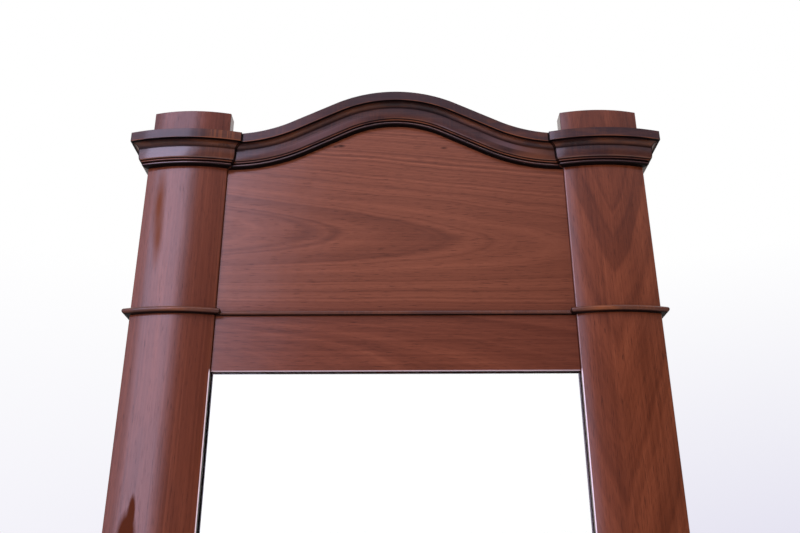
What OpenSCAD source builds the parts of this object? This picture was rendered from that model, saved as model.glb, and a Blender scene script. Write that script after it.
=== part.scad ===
// Pier mirror: bowed columns with mitred capitals, a serpentine arch and a tall plate of glass.
// x runs across, y runs from the front to the wall, z up. The floor is z = 0.
// Front to back, sizes are set from the columns' front edges, which lie at y = 0 before placing.

/* [Overall] */
// Height from the floor to the crown of the arch
total_h = 2080; // [1900:5:2300]
// Clear width between the two columns
opening_w = 490; // [430:5:580]

/* [Columns] */
// Width of a column
column_w = 115; // [100:1:135]
// Thickness of a column at its edges
column_t = 23; // [21:0.5:28]
// How far the middle of a column's front swells past its edges
column_bow = 8.4; // [6:0.2:11]

/* [Capital and arch section] */
// How far the capital's fascia stands in front of the column
cap_reach = 24.7; // [20:0.1:28]
// How far the capital's fascia stands out beside the column
cap_side = 22.5; // [18:0.1:26]
// Swell of the capital's fascia between its two corners
cap_bow = 12; // [8:0.5:15]
// Height of the flat fascia at the top
fascia_h = 14.2; // [10:0.1:18]
// Height of the small step under the fascia
quirk_h = 0.8; // [0.5:0.1:2]
// Height of the hollow
hollow_h = 7; // [5:0.1:9]
// Height of the swell under the hollow
swell_h = 16.3; // [12:0.1:20]
// Height of the fillet under the swell
fillet_h = 2.3; // [1.5:0.1:3.5]
// Thickness of the bead at the bottom
cap_bead_h = 5.4; // [4:0.1:6.5]
// Height of the block that tops a capital
block_h = 48.5; // [40:0.5:60]
// How far the block's faces lie inside the column's
block_inset = 0.9; // [0.5:0.1:2]

/* [Arch] */
// Rise of the crown over the capitals
arch_rise = 72.5; // [66:0.5:80]
// Steepest slope of the arch, in degrees
arch_slope = 26.4; // [25:0.1:29]
// Level run of the arch before it meets a capital
level_run = 5; // [3:0.5:8]

/* [Frieze] */
// Height of the frieze from the astragal to the capital
frieze_h = 218; // [180:1:250]
// How far the frieze and rails lie behind the columns' edges
setback = 4.5; // [3.5:0.1:6]
// Thickness of the astragal around a column
astragal_h = 7.8; // [6:0.1:9.5]
// How far the astragal stands out
astragal_reach = 8.8; // [7:0.1:10]
// Swell of the astragal between its corners
astragal_bow = 9.4; // [7:0.1:11]
// Thickness of the straight bead under the frieze
frieze_bead_h = 5.6; // [4.5:0.1:7]
// How far the straight bead stands out
frieze_bead_reach = 6.5; // [5:0.1:7.5]

/* [Glass and rails] */
// Height of the rail over the glass
upper_rail_h = 77.8; // [60:1:100]
// Height of the rail under the glass, over the base moulding
lower_rail_h = 80; // [60:1:100]
// Thickness of the glass
glass_t = 4; // [3:0.5:5]
// How far the glass lies behind the rails' faces
glass_setback = 5; // [4:0.5:6]
// How far the frame laps over the glass all round
rebate_w = 10; // [8:0.5:12]
// Play around the glass in its rebate
glass_play = 1; // [0.5:0.1:2]
// Size of the blocks that hold the glass
glass_block = 8.5; // [7:0.5:9]
// Length of the blocks that hold the glass
glass_block_l = 60; // [40:5:90]

/* [Base] */
// Height of a plinth
plinth_h = 220; // [180:5:260]
// How far a plinth stands out around its column
plinth_reach = 14; // [13:0.5:18]
// How far the base moulding stands out around a column
base_reach = 12; // [9:0.5:13]
// Swell of the plinth's and the base moulding's front
base_bow = 10; // [7:0.5:13]
// Height of the round at the foot of the base moulding
torus_h = 14; // [10:0.5:18]
// Height of each of the base moulding's two fillets
base_fillet_h = 3; // [2:0.5:4]
// Height of the base moulding's hollow
base_hollow_h = 18; // [12:0.5:24]
// Thickness of the apron between the plinths
apron_t = 20; // [16:0.5:22]
// Gap between the apron and the floor
apron_gap = 12; // [5:1:25]

/* [Carcass] */
// Thickness of the carcass frame behind the show wood
carcass_t = 22; // [18:0.5:26]
// Width of a carcass stile
stile_w = 86; // [70:1:90]
// How far a stile stays behind the column's inner edge, past the rebate
stile_in = 8; // [5:0.5:12]
// How far the carcass rails stay clear of the glass rebate
rail_clear = 14; // [8:0.5:24]
// How far the upper carcass rail's top lies under the capitals' tops
crossrail_drop = 30; // [20:1:60]
// Thickness of a tenon
tenon_t = 8; // [6:0.5:9]
// Length of a tenon
tenon_l = 60; // [40:1:64]
// Shoulder above and below a tenon
shoulder = 15; // [10:1:20]
// Diameter of the pegs through the tenons
peg_d = 8; // [6:0.5:9]
// Diameter of the dowels between a plinth and its stile
dowel_d = 10; // [8:0.5:12]
// Length of those dowels
dowel_l = 60; // [40:2:80]
// Thickness of the back planks
plank_t = 8; // [6:0.5:10]
// Gap between neighbouring back planks
plank_gap = 1; // [0.5:0.1:2]
// Height of the planks' lower ends above the plinths
plank_lift = 6; // [2:1:20]
// Side of the glue blocks behind the apron
glue_block = 24; // [18:1:30]

/* [Hanging plates] */
// Width of a hanging plate
plate_w = 36; // [30:1:40]
// Thickness of a hanging plate
plate_t = 3; // [2.5:0.5:4]
// Clearance between a hanging plate and both the plank and the stile's outer edge
plate_edge = 4; // [2:0.5:6]
// Height of a hanging plate
plate_h = 104; // [96:1:120]
// How far a plate stands up over its stile
plate_rise = 36; // [30:1:40]
// Diameter of the hole for the wall screw
wall_hole_d = 9; // [7:0.5:11]
// Height of that hole over the stile's top
wall_hole_up = 20; // [16:1:22]
// Shank diameter of the wood screws
screw_d = 3.5; // [3:0.1:4]
// Head diameter of the wood screws
screw_head_d = 7; // [6:0.1:8]
// Length of the wood screws
screw_l = 20; // [16:1:22]

/* [Hidden] */
$fn = 96;
arc_n = 8;          // straight steps in each quarter of a moulding's curve
planks = 3;         // back planks, each a node of its own
gap = 0.2;          // clearance of fitted joints
show = "#74402f";
dark = "#4b2620";
pine = "#c79f6c";
silver = "#dbe3e6";
iron = "#4d4b49";

// Places across
half_open = opening_w / 2;
half_col = column_w / 2;
column_x = half_open + half_col;
stile_x0 = half_open + rebate_w + stile_in;
stile_x1 = stile_x0 + stile_w;
plate_x = stile_x1 - plate_edge - plate_w / 2;
plank_edge = plate_x - plate_w / 2 - plate_edge;

// Places from front to back
carcass_y = column_t;
plank_y = carcass_y + carcass_t;
back_y = plank_y + plank_t;
front_y = -cap_reach - cap_bow;
glass_y = setback + glass_setback;

// Places up
cap_h = fascia_h + quirk_h + hollow_h + swell_h + fillet_h + cap_bead_h;
base_h = torus_h + base_hollow_h + 2 * base_fillet_h;
spring_z = total_h - arch_rise;
cap_z = spring_z - cap_h;
astragal_z = cap_z - frieze_h - astragal_h;
panel_z = astragal_z + frieze_bead_h / 2;
sight_top = astragal_z - upper_rail_h;
sight_bottom = plinth_h + base_h + lower_rail_h;
stile_top = spring_z;
upper_cross_z = sight_top + rebate_w + rail_clear;
upper_cross_h = spring_z - crossrail_drop - upper_cross_z;
lower_cross_h = sight_bottom - rebate_w - rail_clear - plinth_h;

// The arch: two equal arcs each side, with a straight slope between them
half_span = half_open - level_run;
arc_r = (half_span * sin(arch_slope) - arch_rise * cos(arch_slope)) / (1 - cos(arch_slope)) / 2;
slope_l = (arch_rise - 2 * arc_r * (1 - cos(arch_slope))) / sin(arch_slope);
crown_c = [0, total_h - arc_r];
foot_c = [half_span, spring_z + arc_r];
slope_top = crown_c + arc_r * [sin(arch_slope), cos(arch_slope)];
slope_foot = foot_c - arc_r * [sin(arch_slope), cos(arch_slope)];

// Sections, as [share of the reach, height]. Shares run from 0 on the wood behind to 1 at the front.
quirk_u = 0.88;     // under the fascia
waist_u = 0.56;     // between hollow and swell
swell_u = 0.46;     // foot of the swell
fillet_u = 0.40;    // face of the fillet
bead_u = 0.33;      // front of the bead
bead_c = bead_u - cap_bead_h / 2 / cap_reach;
hollow_z = -fascia_h - quirk_h;
swell_z = hollow_z - hollow_h;
fillet_z = swell_z - swell_h;
cap_bead_z = fillet_z - fillet_h;
cap_section = concat(
    [[0, 0], [1, 0], [1, -fascia_h], [quirk_u, -fascia_h]],
    [for (i = [0:arc_n]) let (a = 90 * i / arc_n)
        [quirk_u - (quirk_u - waist_u) * sin(a), hollow_z - hollow_h * (1 - cos(a))]],
    [for (i = [1:arc_n]) let (a = 90 * i / arc_n)
        [swell_u + (waist_u - swell_u) * cos(a), swell_z - swell_h * sin(a)]],
    [[fillet_u, fillet_z], [fillet_u, cap_bead_z]],
    [for (i = [0:2 * arc_n]) let (a = 90 * i / arc_n)
        [bead_c + (bead_u - bead_c) * sin(a), cap_bead_z - cap_bead_h / 2 * (1 - cos(a))]],
    [[0, -cap_h]]
);

// A bead: flat above and below, with a half-round nose
function bead_section(h, reach) = let (c = 1 - h / 2 / reach) concat(
    [[0, h]],
    [for (i = [0:2 * arc_n]) let (a = 90 * i / arc_n) [c + (1 - c) * sin(a), h / 2 * (1 + cos(a))]],
    [[0, 0]]
);

torus_u = 1 - torus_h / 2 / base_reach;
base_step_u = 0.6;  // face of the lower fillet
base_top_u = 0.15;  // face of the upper fillet
base_section = concat(
    [[0, base_h], [base_top_u, base_h]],
    [for (i = [0:arc_n]) let (a = 90 * i / arc_n) [
        base_step_u - (base_step_u - base_top_u) * cos(a),
        base_h - base_fillet_h - base_hollow_h * sin(a)
    ]],
    [[base_step_u, torus_h]],
    [for (i = [0:2 * arc_n]) let (a = 90 * i / arc_n)
        [torus_u + (1 - torus_u) * sin(a), torus_h / 2 * (1 + cos(a))]],
    [[0, 0]]
);

// Centre and radius of a swept front that swells by bow between its outer corners
function sweep_y(reach, side, bow) =
    let (c = half_col + side) (c * c + bow * bow) / (2 * bow) - reach - bow;
function sweep_r(u, reach, side, bow) = norm([half_col + side * u, sweep_y(reach, side, bow) + reach * u]);
column_r = (half_col * half_col + column_bow * column_bow) / (2 * column_bow);
overrun = 1.2;      // how far a mitre cut runs past its corner, as a share of the reach

module placed() translate([0, -(front_y + back_y) / 2, 0]) children();

// s = 1 draws on the right column, s = -1 mirrors that to the left one
module on_column(s) placed() mirror([s < 0 ? 1 : 0, 0, 0]) translate([column_x, 0, 0]) children();

// Plan of a column inset by e, closed at the back
module column_plan(e = 0) intersection() {
    translate([0, column_r - column_bow]) circle(column_r - e);
    translate([-half_col + e, -column_bow]) square([column_w - 2 * e, column_bow + column_t]);
}

module column(s) color(show) on_column(s) difference() {
    translate([0, 0, plinth_h]) linear_extrude(spring_z - plinth_h) column_plan();
    // rebate for the glass, on the inner edge
    translate([-half_col - 1, glass_y, sight_bottom - rebate_w])
        cube([rebate_w + 1, column_t, sight_top - sight_bottom + 2 * rebate_w]);
}

module cap_block(s) color(show) on_column(s)
    translate([0, 0, spring_z]) linear_extrude(block_h) column_plan(block_inset);

// A plan extruded a little past the top and the bottom of a section
function low(section) = min([for (p = section) p[1]]);
function high(section) = max([for (p = section) p[1]]);
module through(section)
    translate([0, 0, low(section) - 1]) linear_extrude(high(section) - low(section) + 2) children();

// The bowed front of a moulding that wraps a column, mitred at both corners
module wrap_front(section, reach, side, bow) {
    past = overrun + bow / reach;
    inner_r = sweep_r(0, reach, side, bow) - column_t;
    difference() {
        intersection() {
            translate([0, sweep_y(reach, side, bow), 0])
                rotate([0, 0, -120]) rotate_extrude(angle = 60) polygon(concat(
                    [for (p = section) [sweep_r(p[0], reach, side, bow), p[1]]],
                    [[inner_r, section[len(section) - 1][1]], [inner_r, section[0][1]]]
                ));
            through(section) polygon([
                [-half_col, 0], [-half_col - past * side, -past * reach],
                [half_col + past * side, -past * reach], [half_col, 0]
            ]);
        }
        through(section) translate([0, column_r - column_bow]) circle(column_r);
    }
}

// A straight return along the column's side, from the mitre back to the depth given
module wrap_return(section, reach, side, depth, inner_mitre = false) intersection() {
    translate([half_col, depth, 0]) rotate([90, 0, 0]) linear_extrude(depth + overrun * reach)
        polygon([for (p = section) [p[0] * side, p[1]]]);
    through(section) polygon([
        [half_col, 0], [half_col + overrun * side, -overrun * reach],
        [half_col + overrun * side, inner_mitre ? depth - overrun * reach : depth],
        [half_col, depth]
    ]);
}

// A straight moulding on the wood between the columns
module straight_run(section, reach, length) rotate([90, 0, 90])
    translate([0, 0, -length / 2]) linear_extrude(length)
        polygon([for (p = section) [-p[0] * reach, p[1]]]);

// Plan of what lies between two inner mitres
module between_mitres(reach, side, z, h) translate([0, 0, z]) linear_extrude(h) polygon([
    [-half_open, setback], [-half_open + overrun * side, setback - overrun * reach],
    [half_open - overrun * side, setback - overrun * reach], [half_open, setback]
]);

module cap_front(s) color(dark) on_column(s)
    translate([0, 0, spring_z]) wrap_front(cap_section, cap_reach, cap_side, cap_bow);
module cap_outer_return(s) color(dark) on_column(s)
    translate([0, 0, spring_z]) wrap_return(cap_section, cap_reach, cap_side, column_t);
module cap_inner_return(s) color(dark) on_column(s) mirror([1, 0, 0])
    translate([0, 0, spring_z]) wrap_return(cap_section, cap_reach, cap_side, setback, true);

module astragal_front(s) color(dark) on_column(s) translate([0, 0, astragal_z]) wrap_front(
    bead_section(astragal_h, astragal_reach), astragal_reach, astragal_reach, astragal_bow);
module astragal_outer_return(s) color(dark) on_column(s) translate([0, 0, astragal_z])
    wrap_return(bead_section(astragal_h, astragal_reach), astragal_reach, astragal_reach, column_t);
module astragal_inner_return(s) color(dark) on_column(s) mirror([1, 0, 0])
    translate([0, 0, astragal_z])
        wrap_return(bead_section(astragal_h, astragal_reach), astragal_reach, astragal_reach, setback);

module base_front(s) color(dark) on_column(s)
    translate([0, 0, plinth_h]) wrap_front(base_section, base_reach, base_reach, base_bow);
module base_outer_return(s) color(dark) on_column(s)
    translate([0, 0, plinth_h]) wrap_return(base_section, base_reach, base_reach, column_t);
module base_inner_return(s) color(dark) on_column(s) mirror([1, 0, 0])
    translate([0, 0, plinth_h]) wrap_return(base_section, base_reach, base_reach, setback, true);

// The arch's moulding keeps its section square to the curve all along. It is glued up from three
// lengths: the crown with its two straight slopes, and a hollow foot at each capital.
// A bend's profile is the section, top outwards at the crown (1) and inwards at the feet (-1).
function bend_profile(top_out) = [for (p = cap_section) [arc_r + top_out * p[1], p[0] * cap_reach]];
module on_bend(c, a) translate([c[0], setback, c[1]]) rotate([90, 0, 0]) rotate([0, 0, a]) children();

module arch_crown() color(dark) placed() {
    on_bend(crown_c, 90 - arch_slope) rotate_extrude(angle = 2 * arch_slope) polygon(bend_profile(1));
    for (s = [0, 1]) mirror([s, 0, 0]) on_bend(crown_c, 90 - arch_slope)
        rotate([90, 0, 0]) linear_extrude(slope_l) polygon(bend_profile(1));
}
module arch_foot(s) color(dark) placed() mirror([s < 0 ? 1 : 0, 0, 0]) intersection() {
    union() {
        on_bend(foot_c, 270 - arch_slope)
            rotate_extrude(angle = arch_slope) polygon(bend_profile(-1));
        on_bend(foot_c, 270) rotate([90, 0, 0]) mirror([0, 0, 1])
            linear_extrude(level_run) polygon(bend_profile(-1));
    }
    between_mitres(cap_reach, cap_side, cap_z - 1, total_h - cap_z + 2);
}

// Frieze board under the arch, as tall as the curve allows
module board() linear_extrude(column_t - setback) children();
module frieze_panel() color(show) placed() translate([0, column_t, 0]) rotate([90, 0, 0]) {
    w = half_open - gap;
    board() translate([-w, panel_z]) square([2 * w, spring_z - panel_z]);
    // under the straight slopes
    board() polygon([
        [-slope_foot[0], panel_z], [-slope_foot[0], slope_foot[1]], [-slope_top[0], slope_top[1]],
        slope_top, slope_foot, [slope_foot[0], panel_z]
    ]);
    // under the crown
    board() intersection() {
        translate(crown_c) circle(arc_r);
        translate([-slope_top[0], panel_z]) square([2 * slope_top[0], total_h - panel_z]);
    }
    // under the hollow curves at the feet
    for (s = [0, 1]) mirror([s, 0, 0]) board() difference() {
        translate([0, panel_z]) square([half_span, slope_foot[1] - panel_z]);
        translate(foot_c) circle(arc_r);
    }
}

module frieze_bead() color(dark) difference() {
    placed() translate([0, setback, astragal_z]) straight_run(
        bead_section(frieze_bead_h, frieze_bead_reach), frieze_bead_reach, opening_w - 2 * gap);
    // its ends are scribed to the astragals
    for (s = [-1, 1]) {
        astragal_inner_return(s);
        astragal_front(s);
    }
}

// A rail between the columns, with the rebate for the glass along one edge
module rail(z, h, rebate_at) color(show) placed() difference() {
    translate([-half_open + gap, setback, z]) cube([opening_w - 2 * gap, column_t - setback, h]);
    translate([-half_open, glass_y, rebate_at]) cube([opening_w, column_t, rebate_w]);
}
module upper_rail() rail(sight_top, panel_z - sight_top, sight_top);
module lower_rail() rail(plinth_h, sight_bottom - plinth_h, sight_bottom - rebate_w);

glass_w = opening_w + 2 * (rebate_w - glass_play);
glass_z = sight_bottom - rebate_w;
glass_h = sight_top + rebate_w - glass_play - glass_z;
module mirror_glass() color(silver) placed()
    translate([-glass_w / 2, glass_y, glass_z]) cube([glass_w, glass_t, glass_h]);

// Three-cornered blocks glued behind the glass, in the corner of the rebate
module wedge_block() linear_extrude(glass_block_l, center = true)
    polygon([[0, 0], [-glass_block, 0], [0, glass_block]]);
side_blocks = 5;
cross_blocks = 2;
module glass_blocks() color(pine) placed() {
    for (s = [0, 1], i = [0:side_blocks - 1]) mirror([s, 0, 0]) translate([
        half_open + rebate_w, glass_y + glass_t, glass_z + glass_h * (i + 0.5) / side_blocks
    ]) wedge_block();
    for (i = [0:cross_blocks - 1], top = [0, 1]) translate([
        glass_w * ((i + 0.5) / cross_blocks - 0.5), glass_y + glass_t,
        top ? sight_top + rebate_w : glass_z
    ]) rotate([0, top ? -90 : 90, 0]) wedge_block();
}

// Plinths: solid blocks under columns and stiles, bowed like the base moulding
module plinth_solid() intersection() {
    translate([0, sweep_y(plinth_reach, plinth_reach, base_bow), 0])
        cylinder(r = sweep_r(1, plinth_reach, plinth_reach, base_bow), h = plinth_h);
    translate([-half_col - plinth_reach, -plinth_reach - base_bow, 0])
        cube([column_w + 2 * plinth_reach, plinth_reach + base_bow + back_y, plinth_h]);
}
dowel_x = stile_w / 4;
dowel_y = carcass_y + carcass_t / 2;
module stile_dowels(play = 0) for (i = [-1, 1])
    translate([stile_x0 + stile_w / 2 - column_x + i * dowel_x, dowel_y, plinth_h - dowel_l / 2 - play])
        cylinder(d = dowel_d + play, h = dowel_l + 2 * play);
module plinth(s) color(show) on_column(s) difference() {
    plinth_solid();
    stile_dowels(gap);
}
module plinth_dowels() color(pine) for (s = [-1, 1]) on_column(s) stile_dowels();

apron_y = setback - plinth_reach;
apron_w = opening_w - 2 * plinth_reach - 2 * gap;
module apron() color(show) placed() translate([-apron_w / 2, apron_y, apron_gap])
    cube([apron_w, apron_t, plinth_h - apron_gap]);
module base_moulding() color(dark) placed() intersection() {
    translate([0, setback, plinth_h]) straight_run(base_section, base_reach, opening_w);
    between_mitres(base_reach, base_reach, plinth_h - 1, base_h + 2);
}
glue_block_l = (plinth_h - apron_gap) / 3;
module apron_glue_blocks() color(pine) placed() for (s = [0, 1], top = [0, 1]) mirror([s, 0, 0])
    translate([
        half_open - plinth_reach - glue_block, apron_y + apron_t,
        top ? plinth_h - glue_block_l - shoulder : apron_gap + shoulder
    ]) difference() {
        cube([glue_block, glue_block, glue_block_l]);
        // the inner corner is cut away
        translate([0, glue_block, -1]) rotate([0, 0, 45])
            cube([glue_block * 1.1, glue_block * 1.1, 2 * glue_block_l + 2], center = true);
    }

// Carcass: stiles with mortises, and rails with pegged tenons
tenon_y = carcass_y + (carcass_t - tenon_t) / 2;
foot_shoulder = dowel_l / 2 + shoulder / 2;
// each crossrail's [bottom, height, shoulder under its tenon]
cross_rails = [[upper_cross_z, upper_cross_h, shoulder], [plinth_h, lower_cross_h, foot_shoulder]];
function tenon_z(r) = r[0] + r[2];
function tenon_h(r) = r[1] - r[2] - shoulder;
peg_x = stile_x0 + tenon_l / 2;
module pegs(play = 0) for (r = cross_rails, i = [-1, 1])
    translate([peg_x, carcass_y - play, tenon_z(r) + tenon_h(r) * (2 + i) / 4])
        rotate([-90, 0, 0]) cylinder(d = peg_d + play, h = carcass_t + 2 * play);
module stile(s) color(pine) placed() mirror([s < 0 ? 1 : 0, 0, 0]) difference() {
    translate([stile_x0, carcass_y, plinth_h]) cube([stile_w, carcass_t, stile_top - plinth_h]);
    for (r = cross_rails) translate([stile_x0 - 1, tenon_y - gap / 2, tenon_z(r) - gap / 2])
        cube([tenon_l + gap + 1, tenon_t + gap, tenon_h(r) + gap]);
    pegs(gap);
    translate([column_x, 0, 0]) stile_dowels(gap);
    plank_screw_set(gap);
    plate_screw_set(gap);
}
module crossrail(r) color(pine) placed() difference() {
    union() {
        translate([-stile_x0, carcass_y, r[0]]) cube([2 * stile_x0, carcass_t, r[1]]);
        translate([-stile_x0 - tenon_l, tenon_y, tenon_z(r)])
            cube([2 * (stile_x0 + tenon_l), tenon_t, tenon_h(r)]);
    }
    for (s = [0, 1]) mirror([s, 0, 0]) {
        pegs(gap);
        plank_screw_set(gap);
    }
}
module upper_crossrail() crossrail(cross_rails[0]);
module lower_crossrail() crossrail(cross_rails[1]);
module frame_pegs() color(pine) placed() for (s = [0, 1]) mirror([s, 0, 0]) pegs();

// A countersunk wood screw, its head flush at the origin and its point towards the front
countersink = screw_head_d - screw_d;
module screw(play = 0) rotate([90, 0, 0]) {
    cylinder(d = screw_d + play, h = screw_l + play);
    translate([0, 0, -play / 2])
        cylinder(d1 = screw_head_d + play, d2 = screw_d, h = countersink / 2 + play / 2);
}

// Back planks, side by side, screwed to both crossrails and along the stiles
plank_w = (2 * plank_edge - (planks - 1) * plank_gap) / planks;
plank_z = plinth_h + plank_lift;
plank_h = upper_cross_z + upper_cross_h - plank_z;
plank_screw_in = 18;
stile_screws = 5;
module plank_screw_set(play = 0) {
    // on the right half, ahead of mirroring
    for (r = cross_rails, i = [0:planks - 1], e = [-1, 1]) {
        x = (i - (planks - 1) / 2) * (plank_w + plank_gap) + e * (plank_w / 2 - plank_screw_in);
        if (x > 0 && x < stile_x0) translate([x, back_y, r[0] + r[1] / 2]) screw(play);
    }
    for (k = [0:stile_screws - 1])
        translate([plank_edge - plank_screw_in, back_y, plank_z + plank_h * (k + 0.5) / stile_screws])
            screw(play);
}
module plank(i) color(pine) placed() difference() {
    translate([(i - (planks - 1) / 2) * (plank_w + plank_gap) - plank_w / 2, plank_y, plank_z])
        cube([plank_w, plank_t, plank_h]);
    for (s = [0, 1]) mirror([s, 0, 0]) plank_screw_set(gap);
}
module plank_screws() color(iron) placed() for (s = [0, 1]) mirror([s, 0, 0]) plank_screw_set();

// Hanging plates on the stiles, with the wall screw's hole above the wood
plate_screws_n = 3;
plate_z = stile_top + plate_rise - plate_h;
module plate_screw_set(play = 0) for (i = [0:plate_screws_n - 1])
    translate([plate_x, plank_y + plate_t, plate_z + (plate_h - plate_rise) * (i + 0.5) / plate_screws_n])
        screw(play);
module hanging_plate(s) color(iron) placed() mirror([s < 0 ? 1 : 0, 0, 0]) difference() {
    translate([plate_x, plank_y + plate_t, 0]) rotate([90, 0, 0]) linear_extrude(plate_t) {
        translate([-plate_w / 2, plate_z]) square([plate_w, plate_h - plate_w / 2]);
        translate([0, stile_top + plate_rise - plate_w / 2]) circle(d = plate_w);
    }
    translate([plate_x, plank_y - 1, stile_top + wall_hole_up]) rotate([-90, 0, 0])
        cylinder(d = wall_hole_d, h = plate_t + 2);
    plate_screw_set(gap);
}
module plate_screws() color(iron) placed() for (s = [0, 1]) mirror([s, 0, 0]) plate_screw_set();

column(-1);  // left_column
column(1);  // right_column
cap_block(-1);  // left_cap_block
cap_block(1);  // right_cap_block
cap_front(-1);  // left_cap_front
cap_front(1);  // right_cap_front
cap_outer_return(-1);  // left_cap_outer_return
cap_outer_return(1);  // right_cap_outer_return
cap_inner_return(-1);  // left_cap_inner_return
cap_inner_return(1);  // right_cap_inner_return
arch_crown();
arch_foot(-1);  // left_arch_foot
arch_foot(1);  // right_arch_foot
frieze_panel();
frieze_bead();
astragal_front(-1);  // left_astragal_front
astragal_front(1);  // right_astragal_front
astragal_outer_return(-1);  // left_astragal_outer_return
astragal_outer_return(1);  // right_astragal_outer_return
astragal_inner_return(-1);  // left_astragal_inner_return
astragal_inner_return(1);  // right_astragal_inner_return
upper_rail();
lower_rail();
mirror_glass();
glass_blocks();
plinth(-1);  // left_plinth
plinth(1);  // right_plinth
apron();
base_moulding();
base_front(-1);  // left_base_front
base_front(1);  // right_base_front
base_outer_return(-1);  // left_base_outer_return
base_outer_return(1);  // right_base_outer_return
base_inner_return(-1);  // left_base_inner_return
base_inner_return(1);  // right_base_inner_return
stile(-1);  // left_stile
stile(1);  // right_stile
upper_crossrail();
lower_crossrail();
frame_pegs();
plinth_dowels();
apron_glue_blocks();
plank(0);  // left_back_plank
plank(1);  // middle_back_plank
plank(2);  // right_back_plank
plank_screws();
hanging_plate(-1);  // left_hanging_plate
hanging_plate(1);  // right_hanging_plate
plate_screws();
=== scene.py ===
import math

import bpy
from mathutils import Matrix, Vector


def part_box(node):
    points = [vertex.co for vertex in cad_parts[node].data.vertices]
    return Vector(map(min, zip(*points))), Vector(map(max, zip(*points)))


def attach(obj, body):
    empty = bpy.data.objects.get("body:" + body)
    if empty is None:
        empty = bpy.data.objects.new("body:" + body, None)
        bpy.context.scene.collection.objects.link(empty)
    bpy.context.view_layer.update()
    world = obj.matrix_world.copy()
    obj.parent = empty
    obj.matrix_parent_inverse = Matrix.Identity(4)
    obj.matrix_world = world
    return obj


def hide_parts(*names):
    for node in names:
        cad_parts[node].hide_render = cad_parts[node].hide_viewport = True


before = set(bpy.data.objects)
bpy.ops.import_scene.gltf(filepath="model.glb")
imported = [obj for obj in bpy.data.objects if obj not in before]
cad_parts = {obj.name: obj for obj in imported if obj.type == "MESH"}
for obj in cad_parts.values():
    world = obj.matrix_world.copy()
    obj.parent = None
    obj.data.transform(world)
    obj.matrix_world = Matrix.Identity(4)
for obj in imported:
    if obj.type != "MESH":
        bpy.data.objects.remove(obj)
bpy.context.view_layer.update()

# ----------------------------------------
# Columns. Each is a long board, its front planed to a shallow bow and veneered with upright
# walnut, its back inner edge rebated to take the glass. The finish is French polish.
column_low, column_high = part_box("right_column")
COLUMN_W = column_high.x - column_low.x
COLUMN_X = (column_low.x + column_high.x) / 2
COLUMN_BOW = 0.0084
COLUMN_R = (COLUMN_W**2 / 4 + COLUMN_BOW**2) / (2 * COLUMN_BOW)
FRONT = column_low.y + COLUMN_BOW  # the arrises' place from front to back
BOW_Y = FRONT - COLUMN_BOW + COLUMN_R  # the middle of the bow's circle
SPRING = column_high.z
FOOT = column_low.z
OPEN = COLUMN_X - COLUMN_W / 2  # half the clear width between the columns
BOW_SIDES = 512  # facets of a full circle, where a bowed face is a slice of one
glass_low, glass_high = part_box("mirror_glass")
LAP = 0.010  # how far the frame laps over the glass
PLAY = 0.001  # the glass's play in its rebate, at the top
SIGHT_TOP = glass_high.z + PLAY - LAP
SIGHT_FOOT = glass_low.z + LAP
WELD = 2e-7  # points nearer than this become one
ROUGH_WELD = 2e-6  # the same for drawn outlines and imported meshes
CLEAR = 0.01  # how far a cutter stands out of the wood
SHARP_ABOVE, SMOOTH_BELOW = math.radians(28), math.radians(32)  # turns between two faces


def deselect():
    bpy.ops.object.select_all(action="DESELECT")


def only(piece):
    """Leaves one object selected and active."""
    deselect()
    piece.select_set(True)
    bpy.context.view_layer.objects.active = piece


def edit_all(piece):
    """Opens a piece's mesh with the whole of it selected."""
    only(piece)
    bpy.ops.object.mode_set(mode="EDIT")
    bpy.ops.mesh.select_all(action="SELECT")


def edit_done():
    bpy.ops.object.mode_set(mode="OBJECT")


def settle(piece):
    """Moves a piece's place, turn and size into its mesh."""
    only(piece)
    bpy.ops.object.transform_apply(location=True, rotation=True, scale=True)
    return piece


def named(name):
    """Names the object in hand."""
    piece = bpy.context.object
    piece.name = piece.data.name = name
    return piece


def squared(name, low, high):
    """A squared board between two corners."""
    low, high = Vector(low), Vector(high)
    deselect()
    bpy.ops.mesh.primitive_cube_add(size=1, location=(low + high) / 2)
    piece = named(name)
    piece.scale = high - low
    return settle(piece)


def close(piece):
    """Merges a mesh's doubled points and turns its faces outwards."""
    edit_all(piece)
    bpy.ops.mesh.remove_doubles(threshold=WELD)
    bpy.ops.mesh.normals_make_consistent(inside=False)
    edit_done()
    return piece


def saw(piece, point, normal):
    """Saws a piece along a plane, drops the side that the normal points to and closes the cut."""
    edit_all(piece)
    bpy.ops.mesh.bisect(
        plane_co=point, plane_no=normal, use_fill=True, clear_outer=True, threshold=1e-6
    )
    edit_done()


def take_out(piece, cutter, keep=False):
    """Cuts one shape out of a piece."""
    cut = piece.modifiers.new("cut", "BOOLEAN")
    cut.operation, cut.solver, cut.object = "DIFFERENCE", "EXACT", cutter
    only(piece)
    bpy.ops.object.modifier_apply(modifier=cut.name)
    if not keep:
        bpy.data.objects.remove(cutter)


def round_form(name, radius, centre_y, low, high):
    """An upright cylinder on the right column's middle line."""
    deselect()
    bpy.ops.mesh.primitive_cylinder_add(
        vertices=BOW_SIDES, radius=radius, depth=high - low,
        location=(COLUMN_X, centre_y, (low + high) / 2),
    )
    return settle(named(name))


def bowed_block(name, half, centre_y, radius, back, low, high):
    """A block with a bowed front: a slice of a cylinder, sawn at both sides and at the back."""
    piece = round_form(name, radius, centre_y, low, high)
    saw(piece, (COLUMN_X + half, 0, 0), (1, 0, 0))
    saw(piece, (COLUMN_X - half, 0, 0), (-1, 0, 0))
    saw(piece, (0, back, 0), (0, 1, 0))
    return piece


def other_side(piece, name):
    """The same piece for the left side, with a mesh of its own."""
    only(piece)
    bpy.ops.object.duplicate()
    copy = named(name)
    copy.scale.x = -1
    return close(settle(copy))


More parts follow.
